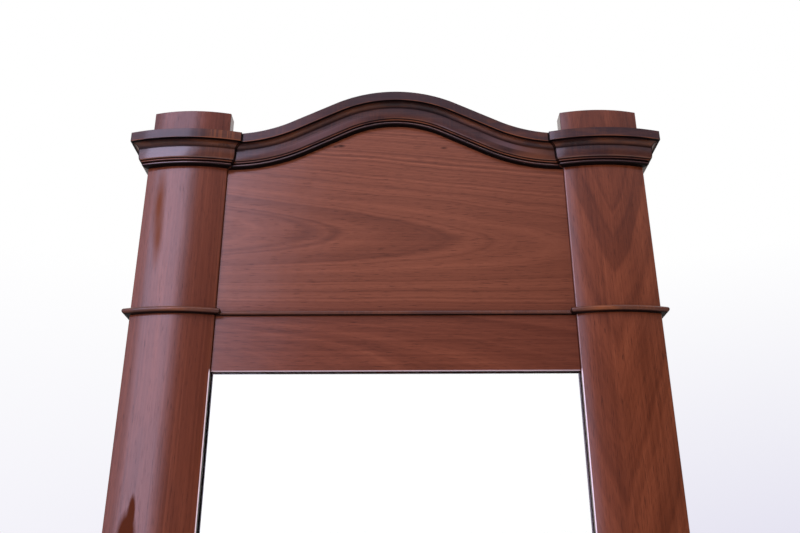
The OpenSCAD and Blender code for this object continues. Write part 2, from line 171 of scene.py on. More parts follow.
def ease(piece, width, steps=2):
    """Takes a piece's sharp edges off."""
    only(piece)
    eased = piece.modifiers.new("eased edges", "BEVEL")
    eased.width, eased.segments = width, steps
    eased.limit_method, eased.angle_limit = "ANGLE", SHARP_ABOVE
    bpy.ops.object.modifier_apply(modifier=eased.name)
    return piece


def finish(piece, material, nodes, edge, steps=2):
    """Closes the mesh, eases its edges, sets its shading and hands the piece to the frame."""
    close(piece)
    if edge:
        ease(piece, edge, steps)
    bpy.ops.object.shade_smooth_by_angle(angle=SMOOTH_BELOW)
    even = piece.modifiers.new("even shading", "WEIGHTED_NORMAL")
    even.keep_sharp = True
    bpy.ops.object.modifier_apply(modifier=even.name)
    piece.data.materials.clear()
    piece.data.materials.append(material)
    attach(piece, "root")
    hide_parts(*nodes)
    return piece


def board_pair(piece, left_name, node, woods, edge):
    """Finishes a right-hand board and its left-hand twin, each in a veneer of its own."""
    twin = other_side(piece, left_name)
    finish(piece, woods[0], ["right_" + node], edge=edge, steps=3)
    finish(twin, woods[1], ["left_" + node], edge=edge, steps=3)


def fill(tree, node, sockets):
    """Sets a node's sockets, by name or number, and links those that are given another's socket."""
    for key, value in dict(sockets).items():
        if isinstance(value, bpy.types.NodeSocket):
            tree.links.new(value, node.inputs[key])
        else:
            node.inputs[key].default_value = value
    return node


def add_node(tree, kind, sockets=(), **fields):
    """A shader node with its fields and sockets set."""
    node = tree.nodes.new(kind)
    for field, value in fields.items():
        setattr(node, field, value)
    return fill(tree, node, sockets)


def maths(tree, operation, *values, clamp=False):
    sockets = dict(enumerate(values))
    node = add_node(tree, "ShaderNodeMath", sockets, operation=operation, use_clamp=clamp)
    return node.outputs[0]


def times(tree, a, b):
    return maths(tree, "MULTIPLY", a, b)


def rest_of(tree, share):
    """What a share leaves of one."""
    return maths(tree, "SUBTRACT", 1.0, share)


def distance(tree, value, middle):
    """How far a value is from a middle, either way."""
    return maths(tree, "ABSOLUTE", maths(tree, "SUBTRACT", value, middle))


def weighed(tree, *parts):
    """The sum of values, each times its weight."""
    total = 0.0
    for value, weight in parts:
        total = maths(tree, "MULTIPLY_ADD", value, weight, total)
    return total


def vector_maths(tree, operation, a, b):
    return add_node(tree, "ShaderNodeVectorMath", {0: a, 1: b}, operation=operation).outputs[0]


def noise(tree, vector, scale, detail, roughness, output="Fac"):
    """Noise over coordinates stretched by a scale for each axis."""
    stretched = vector_maths(tree, "MULTIPLY", vector, scale)
    return add_node(tree, "ShaderNodeTexNoise", {
        "Vector": stretched, "Scale": 1.0, "Detail": detail, "Roughness": roughness,
    }).outputs[output]


def spread(tree, value, low, high, to_low=0.0, to_high=1.0):
    """A value's range from low to high, brought to another range and kept inside it."""
    return add_node(tree, "ShaderNodeMapRange", {
        "Value": value, "From Min": low, "From Max": high, "To Min": to_low, "To Max": to_high,
    }).outputs[0]


def mixed(tree, factor, a, b, how="MIX"):
    """Two colours mixed by a factor. Each is a socket or (red, green, blue)."""
    a, b = ((*colour, 1) if isinstance(colour, tuple) else colour for colour in (a, b))
    sockets = {0: factor, 6: a, 7: b}
    return add_node(tree, "ShaderNodeMix", sockets, data_type="RGBA", blend_type=how).outputs[2]


def ramp(tree, value, stops):
    """A colour ramp through (place, (red, green, blue)) stops."""
    node = add_node(tree, "ShaderNodeValToRGB", {0: value})
    elements = node.color_ramp.elements
    while len(elements) < len(stops):
        elements.new(0.5)
    for element, (place, colour) in zip(elements, stops):
        element.position, element.color = place, (*colour, 1)
    return node.outputs[0]


def new_group(name, inputs, outputs, vectors=("Vector",)):
    """An empty node group: its tree, its inputs and its output node. Sockets hold single values,
    apart from the ones named as vectors."""
    tree = bpy.data.node_groups.new(name, "ShaderNodeTree")
    for way, labels in (("INPUT", inputs), ("OUTPUT", outputs)):
        for label in labels:
            kind = "NodeSocketVector" if label in vectors else "NodeSocketFloat"
            tree.interface.new_socket(label, in_out=way, socket_type=kind)
    return tree, tree.nodes.new("NodeGroupInput").outputs, tree.nodes.new("NodeGroupOutput")


def use_group(tree, group, sockets):
    return add_node(tree, "ShaderNodeGroup", sockets, node_tree=group).outputs


def own_place(tree):
    return add_node(tree, "ShaderNodeTexCoord").outputs["Object"]


def wandering(tree, vector, scale, detail, reach):
    """Coordinates that wander to and fro, by a reach for each axis."""
    drift = noise(tree, vector, scale, detail, 0.5, "Color")
    drift = vector_maths(tree, "SUBTRACT", drift, (0.5, 0.5, 0.5))
    drift = vector_maths(tree, "MULTIPLY", drift, reach)
    return vector_maths(tree, "ADD", drift, vector)


# Wood grain along x: broad bands, streaks, open pores, and how high the surface stands
GRAIN, given, made = new_group(
    "wood grain", ("Vector",), ("Bands", "Streaks", "Pores", "Height")
)
wander = wandering(GRAIN, given["Vector"], (2.5, 9, 9), 2, (0, 0.006, 0.006))
streaks = noise(GRAIN, wander, (2.2, 300, 300), 3, 0.6)
fibres = noise(GRAIN, wander, (14, 1100, 1100), 2, 0.5)
pores = spread(GRAIN, noise(GRAIN, wander, (60, 1500, 1500), 1, 0.5), 0.60, 0.70)
fill(GRAIN, made, {
    "Bands": noise(GRAIN, wander, (1.0, 45, 45), 3, 0.55),
    "Streaks": weighed(GRAIN, (streaks, 0.75), (fibres, 0.25)),
    "Pores": pores,
    "Height": weighed(GRAIN, (fibres, 0.35), (pores, -1.0)),
})

# Growth rings of a plain-sawn board, seen on its face: long nested tongues round the x axis that
# point to +x. Width is a tongue's half width a tenth of a metre behind its tip, and a higher power
# makes the tip rounder.
RINGS, given, made = new_group(
    "growth rings", ("Vector", "Width", "Power", "Lean", "Count"), ("Rings", "Field")
)
wander = wandering(RINGS, given["Vector"], (5, 22, 22), 3, (0.09, 0.0, 0.008))
split = add_node(RINGS, "ShaderNodeSeparateXYZ", {0: wander}).outputs
across = maths(RINGS, "MULTIPLY_ADD", split["X"], given["Lean"], split["Z"])
across = maths(RINGS, "DIVIDE", maths(RINGS, "ABSOLUTE", across), given["Width"])
field = maths(RINGS, "MULTIPLY_ADD", maths(RINGS, "POWER", across, given["Power"]), 0.1, split["X"])
rings = add_node(RINGS, "ShaderNodeTexNoise", {
    "W": times(RINGS, field, given["Count"]), "Scale": 1.0, "Detail": 5.0, "Roughness": 0.54,
}, noise_dimensions="1D").outputs["Fac"]
fill(RINGS, made, {"Rings": rings, "Field": field})

# The slow unevenness of a surface that was scraped and polished by hand
WAVES, given, made = new_group("hand polish", ("Vector",), ("Height", "Rub"))
swell = noise(WAVES, given["Vector"], (14, 14, 14), 1, 0.4)
fine = noise(WAVES, given["Vector"], (70, 70, 70), 1, 0.5)
fill(WAVES, made, {
    "Height": maths(WAVES, "MULTIPLY_ADD", fine, 0.10, swell),
    "Rub": noise(WAVES, given["Vector"], (9, 9, 9), 4, 0.6),
})

ALONG_X = (0, 0, 0)
ALONG_Y = (0, 0, -math.pi / 2)
ALONG_Z = (0, math.pi / 2, 0)
COAT = 0.8  # how much of the surface the polish's film covers
PORE_DEPTH = 0.00004


def bumped(tree, height, distance, strength, **under):
    """A normal that follows a height, over the Normal under it if one is given."""
    return add_node(tree, "ShaderNodeBump", {
        "Height": height, "Distance": distance, "Strength": strength, **under,
    }).outputs[0]


def surfaced(tree, sockets):
    """Ends a material with one surface."""
    surface = add_node(tree, "ShaderNodeBsdfPrincipled", sockets)
    add_node(tree, "ShaderNodeOutputMaterial", {"Surface": surface.outputs[0]})


def polished(tree, colour, height, waves, gloss, coat, film=1.5):
    """A French-polished surface: the wood's own soft shine under a thin clear film."""
    hand = use_group(tree, WAVES, {"Vector": own_place(tree)})
    waved = bumped(tree, hand["Height"], waves, 1.0)
    surfaced(tree, {
        "Base Color": colour, "Normal": bumped(tree, height, PORE_DEPTH, 0.6, Normal=waved),
        "Roughness": spread(tree, hand["Rub"], 0.3, 0.7, 0.38, 0.55), "Specular IOR Level": 0.06,
        "Coat Weight": coat, "Coat Roughness": gloss, "Coat IOR": film, "Coat Normal": waved,
    })


def new_material(name):
    material = bpy.data.materials.new(name)
    material.use_nodes = True
    material.node_tree.nodes.clear()
    return material, material.node_tree


def rotated(tree, vector, turn):
    return add_node(tree, "ShaderNodeMapping", {"Vector": vector, "Rotation": turn}).outputs[0]


def grain_place(tree, turn, at=(0, 0, 0)):
    """Object coordinates moved to a figure's middle and turned so that the grain runs along x."""
    return rotated(tree, vector_maths(tree, "SUBTRACT", own_place(tree), at), turn)


SPOT_DEPTH = 0.05  # a spot's half size from front to back


def spot(tree, place, at, half_x, half_z, strength):
    """A soft spot's mask. A strength above one gives it a sharper edge."""
    away = vector_maths(tree, "SUBTRACT", place, at)
    away = vector_maths(tree, "DIVIDE", away, (half_x, SPOT_DEPTH, half_z))
    away = add_node(tree, "ShaderNodeVectorMath", {0: away}, operation="LENGTH").outputs["Value"]
    return maths(tree, "MULTIPLY", spread(tree, away, 1.0, 0.2), strength, clamp=True)


WALNUT = [  # the veneer's tone, from its dark to its light streaks
    (0.30, (0.058, 0.0125, 0.0050)), (0.43, (0.103, 0.0250, 0.0105)),
    (0.56, (0.152, 0.0400, 0.0185)), (0.72, (0.235, 0.0690, 0.0330)),
]


# A board's edge by the glass: a painted highlight along the arris, and painted shade on the side
# behind it
SIGHT_EDGES, given, made = new_group(
    "edges by the glass", ("Vector", "Face", "Level"), ("Arris", "Reveal", "By glass")
)
split = add_node(SIGHT_EDGES, "ShaderNodeSeparateXYZ", {0: given["Vector"]}).outputs
sideways = maths(SIGHT_EDGES, "SUBTRACT", maths(SIGHT_EDGES, "ABSOLUTE", split["X"]), OPEN)
upwards = distance(SIGHT_EDGES, split["Z"], (SIGHT_TOP + SIGHT_FOOT) / 2)
upwards = maths(SIGHT_EDGES, "SUBTRACT", upwards, (SIGHT_TOP - SIGHT_FOOT) / 2)
between = maths(SIGHT_EDGES, "SUBTRACT", upwards, sideways)
off = maths(SIGHT_EDGES, "MULTIPLY_ADD", between, given["Level"], sideways)
beside = spread(SIGHT_EDGES, off, 0.0014, 0.0008)
behind = maths(SIGHT_EDGES, "SUBTRACT", split["Y"], given["Face"])
before = spread(SIGHT_EDGES, behind, 0.0016, 0.0009)
under_the_top = spread(SIGHT_EDGES, upwards, 0.003, -0.002)
fill(SIGHT_EDGES, made, {
    "Arris": times(SIGHT_EDGES, beside, before),
    "Reveal": times(SIGHT_EDGES, beside, rest_of(SIGHT_EDGES, before)),
    "By glass": maths(SIGHT_EDGES, "MAXIMUM", under_the_top, given["Level"]),
})
# The colour of the painted highlight along a board's arris by the glass
PAINTED_ARRIS_HIGHLIGHT = (0.93, 0.74, 0.77)
# Near black: dirt in the mitres, and painted shade in quirks, under mouldings and beside the glass
DIRT_AND_SHADE = (0.0035, 0.0016, 0.0014)
PORE = (0.020, 0.006, 0.004)


def walnut(
    name, turn, at, tint, figure, shares=(0.20, 0.32, 0.48), bands=(), stains_and_painted_light=(), contrast=1.0,
    edge_lines=None, level=0.0, face=FRONT, film=COAT,
):
    """Figured walnut veneer. The figure is its tongues' width, power, lean and count of rings.
    Shares weigh bands, streaks and rings, and single dark rings may be laid over them. Stains and
    painted light are spots, each its x and z, its half sizes along both, its colour and its
    strength, and each takes the film off: knots and stains, and also painted reflections and
    painted shade; face is the veneer's y.
    Edge lines are how strong the painted highlight on the inner arris is above the glass and beside
    it, and how dark the painted shade on the side behind it. Level is 1 for a board over or under
    the glass."""
    material, tree = new_material(name)
    place = grain_place(tree, turn, at)
    grain = use_group(tree, GRAIN, {"Vector": place})
    figure = dict(zip(("Width", "Power", "Lean", "Count"), figure))
    ring = use_group(tree, RINGS, {"Vector": place, **figure})
    tone = weighed(
        tree, (grain["Bands"], shares[0]), (grain["Streaks"], shares[1]), (ring["Rings"], shares[2])
    )
    for where, width, strength in bands:
        away = distance(tree, ring["Field"], where)
        tone = maths(tree, "MULTIPLY_ADD", spread(tree, away, width, 0), -strength, tone)
    tone = maths(tree, "MULTIPLY_ADD", maths(tree, "SUBTRACT", tone, 0.5), contrast, 0.5)
    colour = mixed(tree, 1.0, ramp(tree, tone, WALNUT), tint, "MULTIPLY")
    colour = mixed(tree, times(tree, grain["Pores"], 0.5), colour, PORE)
    coat = maths(tree, "MULTIPLY_ADD", grain["Pores"], -0.3, film)
    board = own_place(tree)
    # Each spot lays its colour and takes the film off: knots and stains, and painted reflections
    # and painted shade
    for x, z, half_x, half_z, tone, strength in stains_and_painted_light:
        mask = spot(tree, board, (x, face, z), half_x, half_z, strength)
        colour = mixed(tree, mask, colour, tone)
        coat = times(tree, coat, rest_of(tree, mask))
    if edge_lines:
        # A painted highlight along the inner arris, and painted shade on the side behind it, where
        # the film is also taken off
        above, beside, dark = edge_lines
        edge = use_group(tree, SIGHT_EDGES, {"Vector": board, "Face": face, "Level": level})
        pale = spread(tree, edge["By glass"], 0, 1, above, beside)
        colour = mixed(tree, times(tree, pale, edge["Arris"]), colour, PAINTED_ARRIS_HIGHLIGHT)
        dark = times(tree, times(tree, edge["By glass"], edge["Reveal"]), dark)
        colour = mixed(tree, dark, colour, DIRT_AND_SHADE)
        coat = times(tree, coat, rest_of(tree, dark))
    polished(tree, colour, grain["Height"], 0.00035, 0.17, coat)
    return material


def column_board(name):
    """One column: the bowed board with the glass rebate cut along its inner edge."""
    piece = bowed_block(name, COLUMN_W / 2, BOW_Y, COLUMN_R, column_high.y, FOOT, SPRING)
    take_out(piece, squared(
        "rebate",
        (OPEN - CLEAR, glass_low.y, SIGHT_FOOT - LAP),
        (OPEN + LAP, column_high.y + CLEAR, SIGHT_TOP + LAP),
    ))
    return piece


# Colours of painted light: the warm streak and the dark patch are painted reflections of the room,
# the dark side is painted shade
PAINTED_WARM_REFLECTION = (0.150, 0.042, 0.018)
PAINTED_SHADE = (0.078, 0.019, 0.012)
PAINTED_DARK_REFLECTION = (0.074, 0.0125, 0.0005)
right_wood = walnut(
    "right column veneer", (0, -math.pi / 2, 0), (0.300, 0, 1.785), (1.10, 1.00, 0.80),
    (0.036, 1.15, 0.05, 12), edge_lines=(0.12, 1.0, 0.75),
    bands=((0.0, 0.010, 0.05), (-0.052, 0.013, 0.06), (-0.11, 0.012, 0.05), (0.09, 0.02, 0.04)),
)
left_wood = walnut(
    "left column veneer", ALONG_Z, (-COLUMN_X - 0.01, 0, 1.60), (1.12, 1.04, 0.90),
    (0.034, 1.6, -0.03, 9), shares=(0.34, 0.50, 0.16), edge_lines=(0.0, 1.0, 1.0), contrast=0.85,
    stains_and_painted_light=(
        # Painted dark reflections high and low on the column's left part, and painted shade over
        # its inner side
        (-0.3360, 1.900, 0.0110, 0.072, PAINTED_WARM_REFLECTION, 1.0),
        (-0.3320, 1.850, 0.0085, 0.055, PAINTED_WARM_REFLECTION, 0.9),
        (-0.2620, 1.720, 0.0340, 0.700, PAINTED_SHADE, 0.42),
        (-0.3285, 1.441, 0.0145, 0.044, PAINTED_DARK_REFLECTION, 2.5),
        (-0.3246, 1.474, 0.0056, 0.028, PAINTED_DARK_REFLECTION, 2.5),
    ),
)
board_pair(
    column_board("column_right"), "column_left", "column", (right_wood, left_wood), edge=0.0009
)

# ----------------------------------------
# Rails over and under the glass. Both are straight boards between the columns, set back from
# their arrises and rebated for the glass, with the grain running across.
rail_low, rail_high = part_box("upper_rail")
foot_rail_low, foot_rail_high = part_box("lower_rail")


def draw(name, points):
    """A closed flat outline, drawn by pulling one point from corner to corner, then filled."""
    points = [Vector(p) for p in points]
    deselect()
    bpy.ops.mesh.primitive_plane_add(size=0.01, location=points[0])
    piece = settle(named(name))
    bpy.ops.object.mode_set(mode="EDIT")
    bpy.context.tool_settings.mesh_select_mode = (True, False, False)
    bpy.ops.mesh.select_all(action="SELECT")
    bpy.ops.mesh.merge(type="CENTER")
    for start, end in zip(points, points[1:] + points[:1]):
        bpy.ops.mesh.extrude_vertices_move(TRANSFORM_OT_translate={"value": end - start})
    bpy.ops.mesh.select_all(action="SELECT")
    bpy.ops.mesh.remove_doubles(threshold=ROUGH_WELD)
    bpy.ops.mesh.edge_face_add()
    bpy.context.tool_settings.mesh_select_mode = (False, False, True)
    return piece


def pull(way):
    """Pulls the selected end of the sweep in hand straight along."""
    bpy.ops.mesh.extrude_region_move(TRANSFORM_OT_translate={"value": way})


def bend(angle, centre, axis, steps):
    """Carries the selected end of the sweep in hand round an axis, right-handed. Spin itself turns
    the other way."""
    bpy.ops.mesh.spin(steps=steps, angle=-angle, center=centre, axis=axis)


def sweep_done(piece):
    edit_done()
    return close(piece)


def rail_board(name, low, high, sight, up):
    """A rail, rebated along its edge at sight. Up is 1 where the wood is above that edge."""
    lapped = sight + up * LAP
    far = high.z if up > 0 else low.z
    piece = draw(name, [
        (low.x, low.y, sight), (low.x, glass_low.y, sight), (low.x, glass_low.y, lapped),
        (low.x, high.y, lapped), (low.x, high.y, far), (low.x, low.y, far),
    ])
    pull((high.x - low.x, 0, 0))
    return sweep_done(piece)


rail_wood = walnut(
    "rail veneer", ALONG_X, (0.55, 0, rail_low.z - 0.02), (1.06, 1.03, 0.96), (0.040, 2.0, 0.02, 9),
    contrast=0.9, edge_lines=(0.5, 0.5, 0.8), level=1.0, face=rail_low.y,
    # Painted shade over the rail's right part
    stains_and_painted_light=((0.27, rail_low.z, 0.22, 0.30, PAINTED_SHADE, 0.30),),
)
foot_rail_wood = walnut(
    "lower rail veneer", ALONG_X, (-0.4, 0, foot_rail_low.z - 0.03), (1.14, 1.10, 1.02),
    (0.040, 2.0, -0.02, 9), contrast=0.9, edge_lines=(0.5, 0.5, 0.8), level=1.0, face=rail_low.y,
)
for piece, material, node in (
    (rail_board("rail_over_glass", rail_low, rail_high, SIGHT_TOP, 1), rail_wood, "upper_rail"),
    (rail_board("rail_under_glass", foot_rail_low, foot_rail_high, SIGHT_FOOT, -1), foot_rail_wood,
     "lower_rail"),
):
    finish(piece, material, [node], edge=0.0009, steps=3)

# ----------------------------------------
# Frieze. A board under the arch, its top sawn to the arch's curve, its face veneered with one
# figured sheet. The growth rings make long nested tongues that point to the right.
panel_low, panel_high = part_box("frieze_panel")
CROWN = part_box("arch_crown")[1].z
ARCH_RISE = CROWN - SPRING
ARCH_SLOPE = math.radians(26.4)
LEVEL_L = 0.005  # the arch's level length beside a capital
HALF_SPAN = OPEN - LEVEL_L
RUN, CLIMB = math.cos(ARCH_SLOPE), math.sin(ARCH_SLOPE)
ARC_R = (HALF_SPAN * CLIMB - ARCH_RISE * RUN) / (1 - RUN) / 2
SLOPE_L = (ARCH_RISE - 2 * ARC_R * (1 - RUN)) / CLIMB
FRIEZE_Y = panel_low.y
ARC_STEPS = 24  # facets of one foot's bend; the crown has twice as many

half = panel_high.x
top = [(half, SPRING)]
for i in range(ARC_STEPS + 1):
    a = ARCH_SLOPE * i / ARC_STEPS
    top.append((HALF_SPAN - ARC_R * math.sin(a), SPRING + ARC_R * (1 - math.cos(a))))
for i in range(ARC_STEPS):
    a = ARCH_SLOPE * (1 - i / ARC_STEPS)
    top.append((ARC_R * math.sin(a), CROWN - ARC_R * (1 - math.cos(a))))
right_edge = [(half, panel_low.z)] + top
outline = right_edge + [(0, CROWN)] + [(-x, z) for x, z in reversed(right_edge)]
panel = draw("frieze_board", [(x, FRIEZE_Y, z) for x, z in outline])
pull((0, panel_high.y - panel_low.y, 0))
sweep_done(panel)
KNOT = (0.030, 0.012, 0.008)
panel_wood = walnut(
    "frieze veneer", ALONG_X, (0.0555, FRIEZE_Y, 1.8483), (1.35, 1.46, 1.42), (0.031, 2.0, 0.06, 9),
    shares=(0.16, 0.24, 0.60), contrast=0.72, face=FRIEZE_Y,
    bands=(
        (0.018, 0.034, 0.23), (0.077, 0.014, 0.12), (-0.148, 0.014, 0.14), (-0.188, 0.026, 0.16),
    ),
    stains_and_painted_light=(
        (-0.0806, 2.0017, 0.0085, 0.0034, KNOT, 0.9),
        (-0.0890, 2.0003, 0.0050, 0.0024, KNOT, 0.8),
        (0.0716, 1.9977, 0.0070, 0.0024, KNOT, 0.8),
        # Painted shade over the frieze's right part and along its foot
        (0.2700, 1.8000, 0.2000, 0.4000, (0.105, 0.028, 0.014), 0.34),
        (0.0, panel_low.z, 0.70, 0.026, PAINTED_SHADE, 0.38),
    ),
)
finish(panel, panel_wood, ["frieze_panel"], edge=0.0005)

# ----------------------------------------
# Capital blocks. A short bowed block stands on each column and carries its line above the
# capital. It is veneered like the column, a little inside its faces.
block_low, block_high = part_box("right_cap_block")
INSET = (COLUMN_W - (block_high.x - block_low.x)) / 2
block = bowed_block(
    "cap_block_right", COLUMN_W / 2 - INSET, BOW_Y, COLUMN_R - INSET, column_high.y,
    block_low.z, block_high.z,
)
right_block_wood = walnut(
    "right block veneer", ALONG_Z, (0.27, 0, 1.6), (0.90, 0.78, 0.62), (0.034, 1.6, 0.05, 9)
)
left_block_wood = walnut(
    "left block veneer", ALONG_Z, (-0.33, 0, 1.6), (0.90, 0.80, 0.82), (0.034, 1.6, 0.05, 9),
    film=0.6,
)
BLOCK_WOODS = (right_block_wood, left_block_wood)
board_pair(block, "cap_block_left", "cap_block", BLOCK_WOODS, edge=0.0008)

# ----------------------------------------
# Capitals. One cornice section - fascia, step, hollow, swell, fillet and bead - runs bowed across
# each column and returns along its sides, mitred at every corner. Dark, ebonised by old polish.
CURVE_STEPS = 10  # facets of a quarter round in a section
CAP_REACH, CAP_SIDE, CAP_BOW = 0.0247, 0.0225, 0.012
FASCIA_H, STEP_H, HOLLOW_H = 0.0142, 0.0008, 0.007
SWELL_H, FILLET_H, BEAD_H = 0.0163, 0.0023, 0.0054
CAP_H = FASCIA_H + STEP_H + HOLLOW_H + SWELL_H + FILLET_H + BEAD_H
STEP_U, WAIST_U, SWELL_U, FILLET_U, BEAD_U = 0.88, 0.56, 0.46, 0.40, 0.33  # shares of the reach
quarter = [math.pi / 2 * i / CURVE_STEPS for i in range(CURVE_STEPS + 1)]


def nose(tip, height, top, reach):
    """A half-round nose as (share of the reach, height) points, from its top down."""
    root = tip - height / 2 / reach
    turn = [math.pi * i / (2 * CURVE_STEPS) for i in range(2 * CURVE_STEPS + 1)]
    return [
        (root + (tip - root) * math.sin(a), top - height / 2 * (1 - math.cos(a))) for a in turn
    ]


hollow_z = -FASCIA_H - STEP_H
swell_z = hollow_z - HOLLOW_H
fillet_z = swell_z - SWELL_H
cap_bead_z = fillet_z - FILLET_H
cap_section = [(0, 0), (1, 0), (1, -FASCIA_H), (STEP_U, -FASCIA_H)]
cap_section += [
    (STEP_U - (STEP_U - WAIST_U) * math.sin(a), hollow_z - HOLLOW_H * (1 - math.cos(a)))
    for a in quarter
]
cap_section += [
    (SWELL_U + (WAIST_U - SWELL_U) * math.cos(a), swell_z - SWELL_H * math.sin(a))
    for a in quarter[1:]
]
cap_section += [(FILLET_U, fillet_z), (FILLET_U, cap_bead_z)]
cap_section += nose(BEAD_U, BEAD_H, cap_bead_z, CAP_REACH) + [(0, -CAP_H)]
SOFTENED = 0.00022  # how far a moulding's arrises are rubbed down
MITRE_PLAY = 0.00012  # the open joint on each side of a mitre
BACK_WASTE = 0.006  # wood left behind a bowed front, until it is hollowed to the column
SPIN = math.radians(21)  # half of what a bowed front is spun through before it is mitred
SPIN_STEPS = 56
BACK_MITRE_WASTE, ARCH_WASTE = 0.002, 0.004  # lengths that the mitres take off


def mitre(piece, corner_x, way, reach, side, keep_front, corner_y=FRONT):
    """Saws a mitre at a column's corner. Way is 1 at its right corner and -1 at its left one."""
    normal = Vector((way * reach, side, 0)).normalized() * (1 if keep_front else -1)
    saw(piece, Vector((corner_x, corner_y, 0)) - normal * MITRE_PLAY, normal)


def bowed_front(name, section, reach, side, bow, datum):
    """A moulding's front on the right column: spun about its bow's centre, mitred at both corners
    and hollowed at the back to fit the column."""
    half = COLUMN_W / 2
    behind = ((half + side) ** 2 + bow**2) / (2 * bow) - reach - bow
    centre = Vector((COLUMN_X, FRONT + behind, 0))
    line = [(math.hypot(half + side * u, behind + reach * u), h) for u, h in section]
    inner = line[0][0] - BACK_WASTE
    line = [(inner, line[0][1])] + line[1:-1] + [(inner, line[-1][1])]
    piece = draw(name, [
        (centre.x - r * math.sin(SPIN), centre.y - r * math.cos(SPIN), datum + h) for r, h in line
    ])
    bend(2 * SPIN, centre, (0, 0, 1), SPIN_STEPS)
    ease(sweep_done(piece), SOFTENED)
    mitre(piece, COLUMN_X + half, 1, reach, side, True)
    mitre(piece, COLUMN_X - half, -1, reach, side, True)
    heights = [datum + h for u, h in section]
    take_out(piece, round_form(
        "column_form", COLUMN_R, BOW_Y, min(heights) - CLEAR, max(heights) + CLEAR
    ))
    return piece


def straight_return(name, section, reach, side, datum, back, way=1, mitred_back=False):
    """A moulding's return along a column's side, from its mitre with the front back to a depth. Way
    is 1 on the side away from the glass and -1 on the side towards it."""
    edge = COLUMN_X + way * COLUMN_W / 2
    far = back + BACK_MITRE_WASTE if mitred_back else back
    piece = draw(name, [(edge + way * side * u, far, datum + h) for u, h in section])
    pull((0, FRONT - 1.3 * reach - far, 0))
    ease(sweep_done(piece), SOFTENED)
    mitre(piece, edge, way, reach, side, False)
    if mitred_back:
        mitre(piece, edge, way, reach, side, True, corner_y=back)
    return piece


def fit_between(piece, reach, side):
    """Mitres both ends of a moulding that runs from column to column."""
    mitre(piece, OPEN, -1, reach, side, False, corner_y=FRIEZE_Y)
    mitre(piece, -OPEN, 1, reach, side, False, corner_y=FRIEZE_Y)


SET = ("front", "outer_return", "inner_return")


def moulding_set(name, section, reach, side, bow, datum, mitred_back=True):
    """A moulding round the right column: its front and its returns."""
    front, outer, inner = (f"{name}_{part}_right" for part in SET)
    return (
        bowed_front(front, section, reach, side, bow, datum),
        straight_return(outer, section, reach, side, datum, column_high.y),
        straight_return(inner, section, reach, side, datum, FRIEZE_Y, -1, mitred_back),
    )


# How near the surface lies to the mitres at the columns' corners. Lean is a moulding's reach and
# side, as shares of its mitre's length.
MITRES, given, made = new_group(
    "mitres", ("Vector", "Lean"), ("Dirt",), vectors=("Vector", "Lean")
)
either_side = add_node(
    MITRES, "ShaderNodeVectorMath", {0: given["Vector"]}, operation="ABSOLUTE"
).outputs[0]
flat = vector_maths(
    MITRES, "ADD", vector_maths(MITRES, "MULTIPLY", either_side, (1, 0, 0)),
    vector_maths(MITRES, "MULTIPLY", given["Vector"], (0, 1, 0)),
)
nearest = None
for corner, way in (
    ((OPEN, FRONT, 0), -1), ((OPEN + COLUMN_W, FRONT, 0), 1), ((OPEN, FRIEZE_Y, 0), -1),
):
    away = vector_maths(MITRES, "SUBTRACT", flat, corner)
    lean = vector_maths(MITRES, "MULTIPLY", given["Lean"], (way, 1, 0))
    off = add_node(MITRES, "ShaderNodeVectorMath", {0: away, 1: lean}, operation="DOT_PRODUCT")
    off = maths(MITRES, "ABSOLUTE", off.outputs["Value"])
    nearest = maths(MITRES, "MINIMUM", nearest, off) if nearest else off
fill(MITRES, made, {"Dirt": spread(MITRES, nearest, 0.0014, 0.0004)})


def finish_moulding(piece, material, nodes, top, height):
    """Finishes a moulding and stores how far down its section each point lies, from 0 to 1."""
    finish(piece, material, nodes, edge=0)
    marks = piece.data.attributes.new("section", "FLOAT", "POINT")
    for mark, vertex in zip(marks.data, piece.data.vertices):
        mark.value = (top(vertex.co) - vertex.co.z) / height


def finish_set(name, right_hand, woods, top, height):
    """Finishes a moulding's three right-hand pieces and their left-hand twins."""
    for piece, part, material in zip(right_hand, SET, (woods[0], woods[1], woods[1])):
        twin = other_side(piece, f"{name}_{part}_left")
        for side, made in (("left", twin), ("right", piece)):
            node = f"{side}_{name}_{part}"
            finish_moulding(made, material, [node], lambda point: top, height)


# A moulding's state down its section: the place in thousandths, then how far it is clean, rubbed
# through and still polished, in hundredths. Low clean values darken the step, the hollow's foot and
# the undersides of the swell, the fillet and the bead: dirt, and painted shade. High rubbed values
# turn the fascia's lower arris, the hollow's top and the fillet orange-brown: wear, and on the
# hollow's top painted light against the fascia's shade.
CAP_STATE = [
    (0, 80, 30, 30), (15, 100, 5, 36), (278, 100, 5, 36), (284, 100, 90, 30), (301, 100, 90, 30),
    (306, 10, 0, 0), (322, 5, 0, 0), (330, 80, 45, 30), (372, 100, 50, 30), (410, 75, 30, 20),
    (440, 40, 15, 10), (472, 35, 10, 10), (490, 95, 12, 80), (640, 100, 15, 80), (790, 100, 20, 85),
    (812, 100, 60, 95), (828, 60, 40, 30), (836, 5, 0, 0), (850, 100, 90, 30), (872, 90, 70, 30),
    (886, 5, 0, 0), (904, 50, 5, 20), (924, 100, 15, 80), (948, 100, 15, 80), (965, 30, 0, 20),
    (980, 0, 0, 0),
]
# A bead is rubbed towards orange-brown over most of its height and turns dark at its foot: painted
# light on its face and painted shade beneath
BEAD_STATE = [
    (0, 60, 40, 20), (80, 100, 95, 45), (600, 100, 100, 35), (840, 100, 100, 25), (920, 60, 50, 10),
    (990, 10, 0, 0),
]
